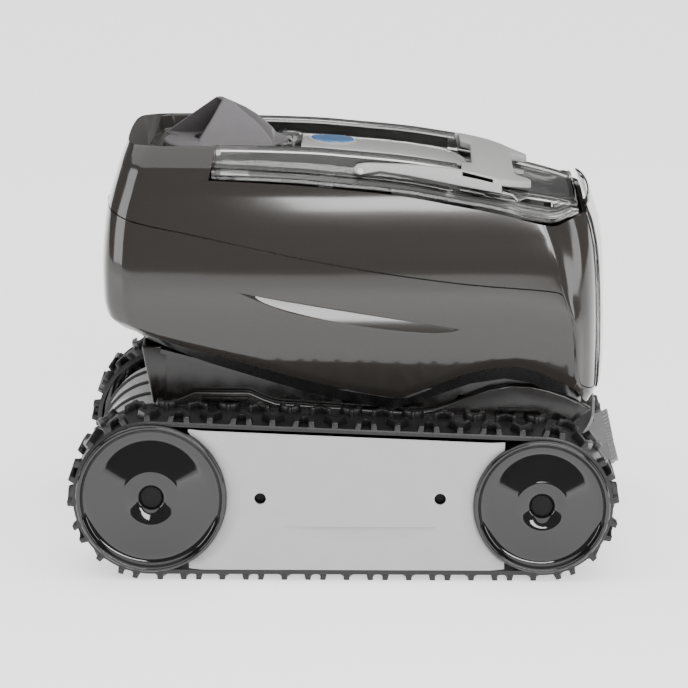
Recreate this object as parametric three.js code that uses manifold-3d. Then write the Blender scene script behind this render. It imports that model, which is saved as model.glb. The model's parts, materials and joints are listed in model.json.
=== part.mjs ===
// A tracked robot pool cleaner, in millimetres. +X is forward, towards the lamella brush, and +Z is up.
// The origin is on the ground under the middle of the machine. "right" is the -Y side, "left" the +Y side.
import * as THREE from "three";
import { mergeVertices } from "three/addons/utils/BufferGeometryUtils.js";
import Module from "manifold-3d";

const wasm = await Module();
wasm.setup();

// ---------------------------------------------------------------- driving dimensions
const GAP = 0.4; // clearance between pieces that touch
const FLOOR_Z = 0;

// Tracks: a rubber belt with a repeating tread of three lugs
const BELT_THICK = 2.7;
const LUG_HEIGHT = 4.5;
const LUG_WIDTH = 4.2;
const TRACK_INNER_Y = 86.5;
const TRACK_OUTER_Y = 141;
const TREAD_REPEATS = 20;
const TREAD_LUGS = [0, 0.37, 0.63]; // places of the three lugs, as shares of one repeat

// Wheels: the rear pair is the larger one
const REAR = { x: -130, belt: 49.3 };
const FRONT = { x: 131, belt: 44.4 };
for (const axle of [REAR, FRONT]) {
  axle.outer = axle.belt + BELT_THICK;
  axle.z = FLOOR_Z + LUG_HEIGHT + axle.outer;
}
const WHEEL_GAP = 0.8; // belt to rim
const WHEEL_INNER_Y = 88;
const WHEEL_WALL = 3;
const CAP_LAP = 1.2; // how far a wheel cap laps over the belt's edge
const CAP_OUTER_Y = 145;
const AXLE_R = 5;
const BUSH_R = 8;
const HUB_R = 12;
const HUB_HOLE_R = 9;

// Gears: a spur gear on each rear wheel, driven by a pinion inside the track
const GEAR_MODULE = 3.5;
const WHEEL_TEETH = 24;
const PINION_TEETH = 8;
const GEAR_Y = [88, 97];
const WHEEL_GEAR_BORE = 34;
const PINION_X = REAR.x + (GEAR_MODULE * (WHEEL_TEETH + PINION_TEETH)) / 2;

// Side panels, track frames and side frames
const PANEL_Y = [141.4, 143.9];
const PANEL_HOLE_R = 3.9;
const PANEL_SCREW_X = [-57, 63];
const PANEL_SCREW_Z = 57;
const FRAME_Y = [78.4, 86];
const TUB_Y = 78;
const WALL = 3;

// Rollers
const DRUM_R = 45;
const BRUSH = { x: 131, z: 56.6 };
const BRUSH_TIP_R = 55.5;
const BRUSH_CORE_R = 30;
const ROLLER_Y = 76;
const RIB_COUNT = 6;
const LAMELLA_COUNT = 10;

// Pump and outlet
const PUMP_X = -84.5;
const DUCT_R = 39;
const NOZZLE_R = 43;
const DECK_Z = 273;
const GLAND = [40, 222]; // place of the cable's inlet on the rear end, in Y and Z

// Body widths and lengths by height: rear end, front end, half width
const REAR_END = [[108, -134], [148, -134], [157, -146], [173, -162], [190, -164.5], [217, -163.5], [247, -160], [270, -152.5], [283, -147]];
const FRONT_END = [[108, 166], [148, 167], [183, 166], [224, 162], [242, 158], [262, 152], [283, 140]];
const HALF_WIDTH = [[108, 91], [130, 96], [150, 100.5], [175, 103], [200, 101], [240, 93], [262, 86.5], [270, 83], [283, 70.5]];
const FRONT_BULGE = 8;
const PLAN_POWER = 6; // how square the body is in plan

// Edges of the body shells along the length
const BODY_EDGE = [[-150, 152], [-134, 150], [-72, 133.5], [-4, 122.5], [29, 117], [41, 117], [56, 123], [76, 132], [97, 138.5],
  [110, 140], [123, 138.5], [144, 130.5], [157, 121], [166, 112.5], [180, 112.5]];
const PARTING = [[-165, 243], [-148, 235], [-98, 224], [-31, 209], [36, 198], [89, 191], [140, 185.5], [151, 184], [155, 176],
  [161, 142], [166, 113.5], [180, 113.5]];
const LID_EDGE = [[-93, 263], [-31, 258.6], [36, 252], [89, 242], [135, 232.5], [158, 234], [180, 234]];
const RAIL_TOP = [[-93, 282], [-40, 280], [0, 277.5], [37, 275], [76, 269.5]];
const HUMP_TOP = [[-93, 281], [-33, 281], [36, 275], [60, 270], [76, 264], [113, 257.5], [140, 250], [160, 241]];

// Filter
const FLAP_HINGE = [1, 0, 136.8];

// Lid and handle
const LID_REAR_X = -91;
const LID_FRONT_X = 156;
const RAIL_END_X = 76;
const LID_WALL = 2.5;
const LID_HINGE = { x: -87, z: 278.5, r: 2 };
const HANDLE_PIVOT = { x: 9, z: 268, r: 2 };
const HANDLE_Y = [74, 80];

// ---------------------------------------------------------------- materials
const finish = (color, roughness, metalness = 0, extra = {}) =>
  new THREE.MeshStandardMaterial({ color, roughness, metalness, ...extra });
const BODY = finish(0x54514e, 0.2);
const BLACK = finish(0x1d1c1c, 0.25);
const WHEEL_BLACK = finish(0x2c2c2c, 0.2);
const PANEL_GREY = finish(0xb7b7b7, 0.5);
const HANDLE_GREY = finish(0xa5a5a5, 0.45);
const NOZZLE_GREY = finish(0x6d6a6c, 0.4);
const CLEAR = finish(0x8c8c8c, 0.1, 0, { transparent: true, opacity: 0.35 });
const RUBBER = finish(0x242424, 0.6);
const STEEL = finish(0xc8c8c8, 0.3, 1);
const WHITE = finish(0xe2e2de, 0.5);
const BLUE = finish(0x3a7cb8, 0.35);

// ---------------------------------------------------------------- helpers
const group = new THREE.Group();

/** A closed geometry as a solid that can be joined and cut. */
function solidOf(geometry) {
  const bare = geometry.index ? geometry.toNonIndexed() : geometry.clone();
  bare.deleteAttribute("normal");
  bare.deleteAttribute("uv");
  const merged = mergeVertices(bare, 1e-4);
  return new wasm.Manifold(
    new wasm.Mesh({
      numProp: 3,
      vertProperties: merged.attributes.position.array,
      triVerts: new Uint32Array(merged.index.array),
    }),
  );
}

/** A solid as a geometry with flat faces. */
function geometryOf(solid) {
  const mesh = solid.getMesh();
  const places = new Float32Array(mesh.numVert * 3);
  for (let i = 0; i < mesh.numVert; i++) {
    const from = i * mesh.numProp;
    places.set(mesh.vertProperties.subarray(from, from + 3), i * 3);
  }
  const geometry = new THREE.BufferGeometry();
  geometry.setAttribute("position", new THREE.BufferAttribute(places, 3));
  geometry.setIndex(new THREE.BufferAttribute(mesh.triVerts, 1));
  geometry.computeVertexNormals();
  return geometry;
}

const join = (solids) => solids.reduce((all, one) => all.add(one));
const cut = (solid, tools) => tools.reduce((left, tool) => left.subtract(tool), solid);

/** Adds one named sub-part to the model. */
function part(name, solid, material) {
  const mesh = new THREE.Mesh(geometryOf(solid), material);
  mesh.name = name;
  group.add(mesh);
}

/** A block between two corners. */
function block(x0, x1, y0, y1, z0, z1) {
  const geometry = new THREE.BoxGeometry(x1 - x0, y1 - y0, z1 - z0);
  geometry.translate((x0 + x1) / 2, (y0 + y1) / 2, (z0 + z1) / 2);
  return solidOf(geometry);
}

/** A shape that may come as a list of [x, y] points. */
const shapeOf = (outline) =>
  outline instanceof THREE.Shape ? outline : new THREE.Shape(outline.map(([x, y]) => new THREE.Vector2(x, y)));

/** An outline in X and Z, extruded along Y from y0 to y1. */
function sidePlate(outline, y0, y1, curveSegments = 8) {
  const depth = y1 - y0;
  const geometry = new THREE.ExtrudeGeometry(shapeOf(outline), { depth, bevelEnabled: false, curveSegments });
  geometry.rotateX(Math.PI / 2);
  geometry.translate(0, y1, 0);
  return solidOf(geometry);
}

/** An outline in X and Y, extruded along Z from z0 to z1. */
function flatPlate(outline, z0, z1, curveSegments = 8) {
  const depth = z1 - z0;
  const geometry = new THREE.ExtrudeGeometry(shapeOf(outline), { depth, bevelEnabled: false, curveSegments });
  geometry.translate(0, 0, z0);
  return solidOf(geometry);
}

/** A closed [radius, height] profile turned about an axis, "y" or "z", through a place. */
function turned(profile, axis, [x, y, z], segments = 28) {
  const points = profile.map(([radius, height]) => new THREE.Vector2(radius, height));
  if (THREE.ShapeUtils.area(points) < 0) points.reverse();
  if (points[0].x > 0) points.push(points[0].clone());
  const geometry = new THREE.LatheGeometry(points, segments);
  if (axis === "z") geometry.rotateX(Math.PI / 2);
  if (axis === "x") geometry.rotateZ(-Math.PI / 2);
  geometry.translate(x, y, z);
  return solidOf(geometry);
}

/** A round rod or, with an inner radius, a tube. */
function rod(axis, place, radius, from, to, segments = 24, inner = 0) {
  const profile = [[inner, from], [radius, from], [radius, to], [inner, to]];
  return turned(profile, axis, place, segments);
}

/** Reads a table of [place, value] rows with straight lines between the rows. */
function along(table, place) {
  if (place <= table[0][0]) return table[0][1];
  for (let i = 1; i < table.length; i++) {
    const [a, va] = table[i - 1];
    const [b, vb] = table[i];
    if (place <= b) return va + ((vb - va) * (place - a)) / (b - a);
  }
  return table[table.length - 1][1];
}

/** A closed skin between an outer and an inner grid of points: columns go round counter-clockwise, rows go up. */
function skin(outer, inner, closed) {
  const columns = outer.length;
  const rows = outer[0].length;
  const positions = [];
  const quad = (a, b, c, d) => {
    for (const p of [a, b, c, a, c, d]) positions.push(p.x, p.y, p.z);
  };
  const last = closed ? columns : columns - 1;
  for (let i = 0; i < last; i++) {
    const k = (i + 1) % columns;
    for (let j = 0; j < rows - 1; j++) {
      quad(outer[i][j], outer[k][j], outer[k][j + 1], outer[i][j + 1]);
      quad(inner[i][j], inner[i][j + 1], inner[k][j + 1], inner[k][j]);
    }
    quad(outer[i][rows - 1], outer[k][rows - 1], inner[k][rows - 1], inner[i][rows - 1]);
    quad(outer[i][0], inner[i][0], inner[k][0], outer[k][0]);
  }
  if (!closed) {
    for (let j = 0; j < rows - 1; j++) {
      quad(outer[0][j], outer[0][j + 1], inner[0][j + 1], inner[0][j]);
      const e = columns - 1;
      quad(outer[e][j], inner[e][j], inner[e][j + 1], outer[e][j + 1]);
    }
  }
  const geometry = new THREE.BufferGeometry();
  geometry.setAttribute("position", new THREE.Float32BufferAttribute(positions, 3));
  return solidOf(geometry);
}

/** A solid lofted through closed sections of equal length, with flat ends. */
function loft(sections) {
  const positions = [];
  const push = (...points) => points.forEach((p) => positions.push(p.x, p.y, p.z));
  const count = sections[0].length;
  for (let s = 0; s < sections.length - 1; s++) {
    for (let i = 0; i < count; i++) {
      const k = (i + 1) % count;
      const [a, b] = [sections[s], sections[s + 1]];
      push(a[i], a[k], b[k], a[i], b[k], b[i]);
    }
  }
  const first = sections[0];
  const axis = ["x", "y", "z"].find((name) => first.every((p) => Math.abs(p[name] - first[0][name]) < 1e-6));
  const flatten = {
    x: (p) => new THREE.Vector2(p.y, p.z),
    y: (p) => new THREE.Vector2(p.z, p.x),
    z: (p) => new THREE.Vector2(p.x, p.y),
  }[axis];
  for (const [section, facing] of [[sections[0], -1], [sections[sections.length - 1], 1]]) {
    for (const [a, b, c] of THREE.ShapeUtils.triangulateShape(section.map(flatten), [])) {
      if (facing > 0) push(section[a], section[b], section[c]);
      else push(section[a], section[c], section[b]);
    }
  }
  const geometry = new THREE.BufferGeometry();
  geometry.setAttribute("position", new THREE.Float32BufferAttribute(positions, 3));
  return solidOf(geometry);
}

/** A solid between two outlines of equal length, one on each side of the machine's middle plane. */
function loftAcross(right, left) {
  const positions = [];
  const push = (...points) => points.forEach((p) => positions.push(p.x, p.y, p.z));
  right.forEach((point, i) => {
    const k = (i + 1) % right.length;
    push(point, left[k], right[k], point, left[i], left[k]);
  });
  const flat = right.map((p) => new THREE.Vector2(p.x, p.z));
  for (const [a, b, c] of THREE.ShapeUtils.triangulateShape(flat, [])) {
    push(right[a], right[b], right[c]);
    push(left[a], left[c], left[b]);
  }
  const geometry = new THREE.BufferGeometry();
  geometry.setAttribute("position", new THREE.Float32BufferAttribute(positions, 3));
  return solidOf(geometry);
}

/** A stretch of Y on one side of the machine, side -1 being the right. */
const span = (side, from, to) => (side < 0 ? [-to, -from] : [from, to]);

/** Evenly spaced numbers from a to b, both included. */
const steps = (a, b, count) => Array.from({ length: count }, (_, i) => a + ((b - a) * i) / (count - 1));

// ---------------------------------------------------------------- body form
/** The other coordinate of a point on the unit plan curve. */
const planCurve = (t) => Math.pow(1 - Math.pow(Math.abs(t), PLAN_POWER), 1 / PLAN_POWER);

/** A point of the body's outside at a height, for a place [u, v] on the unit plan curve, moved in by inset. */
function bodyPoint([u, v], z, inset = 0) {
  const length = u > 0 ? along(FRONT_END, z) - inset : -along(REAR_END, z) - inset;
  const bulge = FRONT_BULGE * (1 - v * v) * Math.max(0, u) ** 4;
  return new THREE.Vector3(u * length + bulge, v * (along(HALF_WIDTH, z) - inset), z);
}

/** The height at which a column of the body meets an edge table. */
function edgeHeight(place, table, offset) {
  let z = 200;
  for (let i = 0; i < 8; i++) z = along(table, bodyPoint(place, z).x) + offset;
  return z;
}

const SIDE_STEPS = [0.93, 0.86, 0.76, 0.66, 0.56, 0.46, 0.34, 0.25, 0.17, 0.02, -0.2, -0.4, -0.6, -0.8, -0.93];
const END_STEPS = [0.72, 0.4, 0, -0.4, -0.72];
const leftSide = SIDE_STEPS.map((u) => [u, planCurve(u)]);
const rearEnd = END_STEPS.map((v) => [-planCurve(v), v]);
const rightSide = [...SIDE_STEPS].reverse().map((u) => [u, -planCurve(u)]);
const frontEnd = [...END_STEPS].reverse().map((v) => [planCurve(v), v]);

/** A body shell between two edge tables. */
function bodyShell(places, lowTable, lowOffset, highTable, highOffset, rows, closed) {
  const grid = (inset) =>
    places.map((place) => {
      const low = edgeHeight(place, lowTable, lowOffset);
      const high = edgeHeight(place, highTable, highOffset);
      return steps(low, high, rows).map((z) => bodyPoint(place, z, inset));
    });
  return skin(grid(0), grid(WALL), closed);
}

/** The whole outside of the body between two heights, moved in by inset. */
function bodySolid(z0, z1, inset, rows) {
  const ring = [...leftSide, ...rearEnd, ...rightSide, ...frontEnd];
  return loft(steps(z0, z1, rows).map((z) => ring.map((place) => bodyPoint(place, z, inset))));
}

function lowerShell() {
  const places = [...leftSide, ...rearEnd, ...rightSide];
  const shell = bodyShell(places, BODY_EDGE, 0, PARTING, -GAP, 4, false);
  return cut(shell, [rod("x", [0, ...GLAND], 8.4, -175, -150, 16)]);
}

function upperShell() {
  const ring = [...leftSide, ...rearEnd, ...rightSide, ...frontEnd];
  const shoulderX = LID_REAR_X - 2;
  const top = [[-200, 263], ...LID_EDGE];
  const skirt = bodyShell(ring, PARTING, GAP, top, -0.8, 4, true);
  const rear = bodySolid(257, 282, 0, 4).intersect(block(-200, shoulderX, -150, 150, 250, 300));
  const hollow = bodySolid(250, DECK_Z - WALL, WALL, 3);
  const pocket = block(-141, 0, -56, 56, DECK_Z, 300);
  const opening = rod("z", [PUMP_X, 0, 0], DUCT_R + GAP, 200, 300, 28);
  const ears = [-1, 1].map((side) => block(-96, -83, ...span(side, 56.6, 61.4), 271, 281.5));
  const pinHole = rod("y", [LID_HINGE.x, 0, LID_HINGE.z], LID_HINGE.r + GAP, -65, 65, 12);
  return cut(join([skirt, cut(rear, [hollow, pocket, opening]), ...ears]), [pinHole]);
}

// ---------------------------------------------------------------- chassis
function chassisTub() {
  const outline = (inset, top) => [
    [-135 + inset, top], [-129.5 + inset, 106.5 + inset], [REAR.x + 44, 106.5 + inset], [-82 + inset, 100 + inset],
    [-82 + inset, 16 + inset], [70 - inset, 16 + inset], [70 - inset, 106 + inset], [76, 113.5 + inset],
    [149 - inset, 113.5 + inset], [149 - inset, top],
  ];
  const outside = sidePlate(outline(0, 150), -TUB_Y, TUB_Y);
  const inside = sidePlate(outline(WALL, 160), -TUB_Y + WALL, TUB_Y - WALL);
  const sides = BODY_EDGE.filter(([x]) => x > -130).map(([x, z]) => [x, z - 2.5]);
  const rim = [[-200, 200], [-200, 143], [-128, 145], ...sides, [200, 200]];
  const above = sidePlate(rim, -100, 100);
  const mouth = block(2, 48, -43, 43, 0, 30);
  const shaftHoles = rod("y", [PINION_X, 0, REAR.z], 4.6, -100, 100);
  const edge = [[-126, 147.5], ...BODY_EDGE.filter(([x]) => x > -130 && x < 130)];
  const band = [...edge.map(([x, z]) => [x, z - 4]), ...[...edge].reverse().map(([x, z]) => [x, z - 1])];
  const flanges = [-1, 1].map((side) => sidePlate(band, ...span(side, TUB_Y - 2, 86.5)));
  return join([cut(outside, [inside, above, mouth, shaftHoles]), ...flanges]);
}

/** The outline of a side frame, whose top edge is the fender over the track. */
function sideFrameOutline() {
  return [
    [-152, 62], [-150, 46], [-138, 36], [-110, 30], [-84, 16], [74, 16], [104, 26], [140, 32], [151, 44], [151, 60],
    [146, 74], [150, 92], [166, 106.5], [137, 118.5], [110, 122], [84, 115], [58, 105.5], [43, 103.5], [-11, 107],
    [-48, 109.5], [-66, 117], [-103, 117], [-114, 111.5], [-125, 109], [-140, 84],
  ];
}

function sideFrame(side) {
  const [y0, y1] = side < 0 ? [-FRAME_Y[1], -FRAME_Y[0]] : FRAME_Y;
  const plate = sidePlate(sideFrameOutline(), y0, y1);
  const tabY = side < 0 ? [-FRAME_Y[1] - 6, -FRAME_Y[0]] : [FRAME_Y[0], FRAME_Y[1] + 6];
  const tabs = [[-98, -66, 111.8], [102, 130, 104.6]].map(([x0, x1, z]) => block(x0, x1, ...tabY, z, z + 3));
  const holes = [REAR, FRONT].map((axle) => rod("y", [axle.x, 0, axle.z], AXLE_R + 0.3, y0 - 9, y1 + 9));
  const shaft = rod("y", [PINION_X, 0, REAR.z], 4.6, y0 - 9, y1 + 9);
  return cut(join([plate, ...tabs]), [...holes, shaft]);
}

/** The hollow box inside the track loop that carries the side panel. */
function trackFrame(side) {
  const box = block(-54, 70, ...span(side, 86.4, 141), 12, 90);
  const hollow = block(-51, 67, ...span(side, 92, 150), 15, 87);
  const screws = (radius, from, to, segments) =>
    PANEL_SCREW_X.map((x) => rod("y", [x, 0, PANEL_SCREW_Z], radius, ...span(side, from, to), segments));
  const body = join([cut(box, [hollow]), ...screws(6.5, 99, 141, 16)]);
  return cut(body, [...screws(2.3, 80, 150, 10), ...screws(4, 134, 150, 14)]);
}

function sidePanel(side) {
  const shape = new THREE.Shape();
  const arc = (axle, radius) => {
    const low = Math.asin((8 - axle.z) / radius);
    return { low, radius };
  };
  const rear = arc(REAR, REAR.outer + 1.5);
  const front = arc(FRONT, FRONT.outer + 1.5);
  const rearTop = Math.asin((103.6 - REAR.z) / rear.radius);
  const frontTop = Math.PI - Math.asin((95.4 - FRONT.z) / front.radius);
  shape.absarc(REAR.x, REAR.z, rear.radius, rear.low, rearTop, false);
  shape.absarc(FRONT.x, FRONT.z, front.radius, frontTop, Math.PI - front.low, false);
  shape.closePath();
  const [y0, y1] = side < 0 ? [-PANEL_Y[1], -PANEL_Y[0]] : PANEL_Y;
  const holes = PANEL_SCREW_X.map((x) => rod("y", [x, 0, PANEL_SCREW_Z], PANEL_HOLE_R, y0 - 5, y1 + 5, 20));
  return cut(sidePlate(shape, y0, y1, 12), holes);
}

function panelScrew(side, x) {
  const place = [x, 0, PANEL_SCREW_Z];
  const head = rod("y", place, 3.6, ...span(side, 134.3, 137), 12);
  const shank = rod("y", place, 1.9, ...span(side, 104, 134.4), 8);
  const recess = block(x - 1, x + 1, ...span(side, 136, 138), PANEL_SCREW_Z - 2.6, PANEL_SCREW_Z + 2.6);
  return cut(join([head, shank]), [recess]);
}

// ---------------------------------------------------------------- tracks
/** The straight and round stretches of a loop round both wheels, at a distance outside the belt's inner face. */
function trackLoop(distance) {
  const rear = REAR.belt + distance;
  const front = FRONT.belt + distance;
  const bottom = (3 * Math.PI) / 2;
  const top = Math.PI / 2 - 2 * Math.asin((rear - front) / (FRONT.x - REAR.x));
  const at = (axle, radius, angle) =>
    new THREE.Vector2(axle.x + radius * Math.cos(angle), axle.z + radius * Math.sin(angle));
  const arc = (axle, radius, from, to) => ({
    length: radius * (to - from),
    point: (share) => at(axle, radius, from + (to - from) * share),
    angle: (share) => from + (to - from) * share,
  });
  const line = (from, to, angle) => ({
    length: from.distanceTo(to),
    point: (share) => from.clone().lerp(to, share),
    angle: () => angle,
  });
  return [
    arc(REAR, rear, top, bottom),
    line(at(REAR, rear, bottom), at(FRONT, front, bottom), bottom),
    arc(FRONT, front, bottom, top + 2 * Math.PI),
    line(at(FRONT, front, top), at(REAR, rear, top), top),
  ];
}

/** A place on a loop, with its outward direction, at a distance along it. */
function loopPlace(loop, distance) {
  let left = distance;
  for (const stretch of loop) {
    if (left <= stretch.length) {
      const share = left / stretch.length;
      const angle = stretch.angle(share);
      return { point: stretch.point(share), outward: new THREE.Vector2(Math.cos(angle), Math.sin(angle)) };
    }
    left -= stretch.length;
  }
  return loopPlace(loop, left);
}

/** The belt's outer outline, with a lug standing up at each place of the tread. */
function treadOutline() {
  const loop = trackLoop(BELT_THICK);
  const total = loop.reduce((sum, stretch) => sum + stretch.length, 0);
  const points = [];
  for (let i = 0; i < TREAD_REPEATS; i++) {
    for (const share of TREAD_LUGS) {
      const middle = ((i + share + 0.1) * total) / TREAD_REPEATS;
      const before = loopPlace(loop, middle - LUG_WIDTH / 2);
      const after = loopPlace(loop, middle + LUG_WIDTH / 2);
      const lift = (place) => place.point.clone().addScaledVector(place.outward, LUG_HEIGHT);
      points.push(before.point, lift(before), lift(after), after.point);
    }
  }
  return points;
}

function track(side) {
  const shape = new THREE.Shape(treadOutline());
  const inner = new THREE.Path();
  const [rear, , front] = trackLoop(0);
  inner.setFromPoints([rear, front].flatMap((arc) => steps(0, 1, 17).map((share) => arc.point(share))));
  shape.holes.push(inner);
  return sidePlate(shape, ...span(side, TRACK_INNER_Y, TRACK_OUTER_Y));
}

// ---------------------------------------------------------------- wheels and drive
/** A spur gear outline with straight-sided teeth. */
function gearOutline(teeth, x, z, phase) {
  const pitch = (GEAR_MODULE * teeth) / 2;
  const tip = pitch + 0.8 * GEAR_MODULE;
  const root = pitch - 1.05 * GEAR_MODULE;
  const quarter = Math.PI / (2 * teeth);
  const points = [];
  for (let i = 0; i < teeth; i++) {
    const centre = phase + (2 * Math.PI * i) / teeth;
    const corners = [[root, -1.25], [tip, -0.42], [tip, 0.42], [root, 1.25]];
    for (const [radius, share] of corners) {
      const angle = centre + share * quarter;
      points.push([x + radius * Math.cos(angle), z + radius * Math.sin(angle)]);
    }
  }
  return points;
}

function wheel(axle, side, geared) {
  const rim = axle.belt - WHEEL_GAP;
  const profile = [
    [BUSH_R, 103], [rim - WHEEL_WALL, 103], [rim - WHEEL_WALL, 98], [rim, 98], [rim, TRACK_OUTER_Y - 1],
    [rim - WHEEL_WALL, TRACK_OUTER_Y - 1], [rim - WHEEL_WALL, 120], [BUSH_R, 120],
  ];
  const place = [axle.x, 0, axle.z];
  const body = turned(profile.map(([r, y]) => [r, side * y]), "y", place, 28);
  if (!geared) return body;
  const gear = sidePlate(gearOutline(WHEEL_TEETH, axle.x, axle.z, 0), ...span(side, GEAR_Y[0], GEAR_Y[1] + 7));
  const inside = rod("y", place, WHEEL_GEAR_BORE, -160, 160, 24);
  return join([body, cut(gear, [inside])]);
}

function wheelBush(axle, side) {
  return rod("y", [axle.x, 0, axle.z], BUSH_R - GAP, ...span(side, 96, 137), 16, AXLE_R + GAP);
}

function wheelAxle(axle, side) {
  return rod("y", [axle.x, 0, axle.z], AXLE_R, ...span(side, 79, 137.5), 16);
}

/** The glossy disc over a wheel, with a hub hole and a rolled edge. */
function wheelCap(axle, side) {
  const edge = axle.belt + CAP_LAP;
  const profile = [
    [HUB_HOLE_R, 138.2], [HUB_HOLE_R + 4, 138.2], [HUB_HOLE_R + 9, 141.6], [edge, 141.6], [edge, 143.4],
    [edge - 3, CAP_OUTER_Y], [HUB_HOLE_R + 6, 144.4], [HUB_HOLE_R, 141.5],
  ];
  return turned(profile.map(([r, y]) => [r, side * y]), "y", [axle.x, 0, axle.z], 28);
}

function drivePinion(side) {
  const phase = Math.PI + Math.PI / PINION_TEETH;
  const gear = sidePlate(gearOutline(PINION_TEETH, PINION_X, REAR.z, phase), ...span(side, ...GEAR_Y));
  return join([gear, rod("y", [PINION_X, 0, REAR.z], 4, ...span(side, 44, 96), 12)]);
}

// ---------------------------------------------------------------- rollers
/** The rear drum, with low spiral ribs. */
function rearRoller() {
  const place = [REAR.x, 0, REAR.z];
  const drum = turned([[7, -ROLLER_Y], [DRUM_R, -ROLLER_Y], [DRUM_R, ROLLER_Y], [7, ROLLER_Y]], "y", place, 24);
  const ribs = Array.from({ length: RIB_COUNT }, (_, i) => {
    const start = (2 * Math.PI * i) / RIB_COUNT;
    const sections = steps(-ROLLER_Y + 1, ROLLER_Y - 1, 4).map((y) => {
      const angle = start + y * 0.011;
      const at = (radius, share) =>
        new THREE.Vector3(REAR.x + radius * Math.cos(angle + share), y, REAR.z + radius * Math.sin(angle + share));
      return [at(DRUM_R - 2, -0.05), at(DRUM_R - 2, 0.05), at(DRUM_R + 2.4, 0.03), at(DRUM_R + 2.4, -0.03)];
    });
    return loft(sections);
  });
  return join([drum, ...ribs]);
}

/** A shaft fixed between the side frames, on which a roller turns. */
const rollerShaft = (axle) => rod("y", [axle.x, 0, axle.z], AXLE_R, -77.9, 77.9, 16);

const brushCore = () => rod("y", [BRUSH.x, 0, BRUSH.z], BRUSH_CORE_R, -ROLLER_Y, ROLLER_Y, 24, 7);

/** The soft sleeve with its radial lamellae. */
function brushLamellae() {
  const place = [BRUSH.x, 0, BRUSH.z];
  const sleeve = rod("y", place, BRUSH_CORE_R + 3, -ROLLER_Y, ROLLER_Y, 24, BRUSH_CORE_R + GAP);
  const fins = Array.from({ length: LAMELLA_COUNT }, (_, i) => {
    const geometry = new THREE.BoxGeometry(BRUSH_TIP_R - BRUSH_CORE_R - 1.5, 2 * ROLLER_Y, 2.4);
    geometry.translate((BRUSH_TIP_R + BRUSH_CORE_R + 1.5) / 2, 0, 0);
    geometry.rotateY((2 * Math.PI * i) / LAMELLA_COUNT);
    geometry.translate(BRUSH.x, 0, BRUSH.z);
    return solidOf(geometry);
  });
  return join([sleeve, ...fins]);
}

// ---------------------------------------------------------------- motor, pump and outlet
function motorHousing() {
  const box = block(-78.5, -20, -42, 42, 30, 104);
  const can = rod("z", [PUMP_X, 0, 0], 31, 110, 165, 28);
  const neck = block(-88, -40, -26, 26, 109.8, 124);
  const throat = block(-76, -24, -30, 30, 103, 124);
  return join([box, can, neck, throat]);
}

const motorCover = () => rod("z", [PUMP_X, 0, 0], 34, 165 + GAP, 171, 24, 5);
const shaftSeal = () => rod("z", [PUMP_X, 0, 0], 9, 171 + GAP, 176, 16, 4.5);
const pumpShaft = () => rod("z", [PUMP_X, 0, 0], 4, 165.4, 232, 16);

function impeller() {
  const hub = rod("z", [PUMP_X, 0, 0], 11, 203, 229, 16, 4.3);
  const blades = Array.from({ length: 4 }, (_, i) => {
    const geometry = new THREE.BoxGeometry(26, 2.4, 20);
    geometry.rotateX(0.9);
    geometry.translate(9 + 13, 0, 216);
    geometry.rotateZ((Math.PI * i) / 2);
    geometry.translate(PUMP_X, 0, 0);
    return solidOf(geometry);
  });
  const rotor = join([hub, ...blades]);
  return rotor.intersect(rod("z", [PUMP_X, 0, 0], 34.4, 190, 240, 24, 4.3));
}

/** The tube round the impeller, on three legs, with a flared mouth at its foot. */
function outletDuct() {
  const place = [PUMP_X, 0, 0];
  const top = DECK_Z - WALL - GAP;
  const profile = [
    [DUCT_R - 3, 190], [DUCT_R + 3, 184], [DUCT_R + 3, 188], [DUCT_R, 194], [DUCT_R, top], [DUCT_R - 3, top],
  ];
  const legs = [0, 1, 2].map((i) => {
    const geometry = new THREE.BoxGeometry(5, 8, 20);
    geometry.translate(DUCT_R + 1.5, 0, 181);
    geometry.rotateZ((Math.PI * (2 * i + 1)) / 3);
    geometry.translate(PUMP_X, 0, 0);
    return solidOf(geometry);
  });
  return join([turned(profile, "z", place, 24), ...legs]);
}

/** A turned disc with a scoop on it that opens to the rear. */
function nozzle() {
  const place = [PUMP_X, 0, 0];
  const hood = (outline, low, high) => {
    const rear = outline.map(([x, z]) => new THREE.Vector3(x, 0, z));
    const width = (z) => low + ((high - low) * (z - DECK_Z)) / 33;
    const side = (sign) => rear.map((p) => new THREE.Vector3(p.x, sign * width(p.z), p.z));
    return loftAcross(side(-1), side(1));
  };
  const outside = hood([[-116, DECK_Z + 3], [-50, DECK_Z + 3], [-58, 288], [-71, 298], [-87, 306]], 27, 15);
  const inside = hood([[-130, DECK_Z - 2], [-56, DECK_Z - 2], [-62, 285], [-73, 294], [-87, 302], [-96, 318]], 24, 12);
  const base = rod("z", place, NOZZLE_R, DECK_Z + GAP, DECK_Z + 4, 32);
  const shaped = outside.intersect(rod("z", place, NOZZLE_R, 250, 320, 32));
  const bore = inside.intersect(rod("z", place, 30, 250, 320, 24));
  const mouth = inside.intersect(block(-150, -80, -40, 40, DECK_Z + 4.5, 330));
  return cut(join([base, shaped]), [bore, mouth]);
}

/** A guard of crossed bars under the nozzle. */
function outletGrille() {
  const place = [PUMP_X, 0, 0];
  const [z0, z1] = [250, 253];
  const ring = rod("z", place, DUCT_R - 3 - GAP, z0, z1, 20, DUCT_R - 7);
  const bars = [-14, 0, 14].map((y) => block(PUMP_X - 31, PUMP_X + 31, y - 1, y + 1, z0, z1));
  const cross = block(PUMP_X - 1, PUMP_X + 1, -33, 33, z0, z1);
  const trim = rod("z", place, DUCT_R - 5, z0, z1, 20);
  return join([ring, join([...bars, cross]).intersect(trim)]);
}

function cableGland() {
  const place = [0, ...GLAND];
  const boss = rod("x", place, 8, -169, -153, 16, 3.5);
  const nut = rod("x", place, 11, -156.9, -153, 6, 3.5);
  return join([boss, nut]);
}

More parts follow.
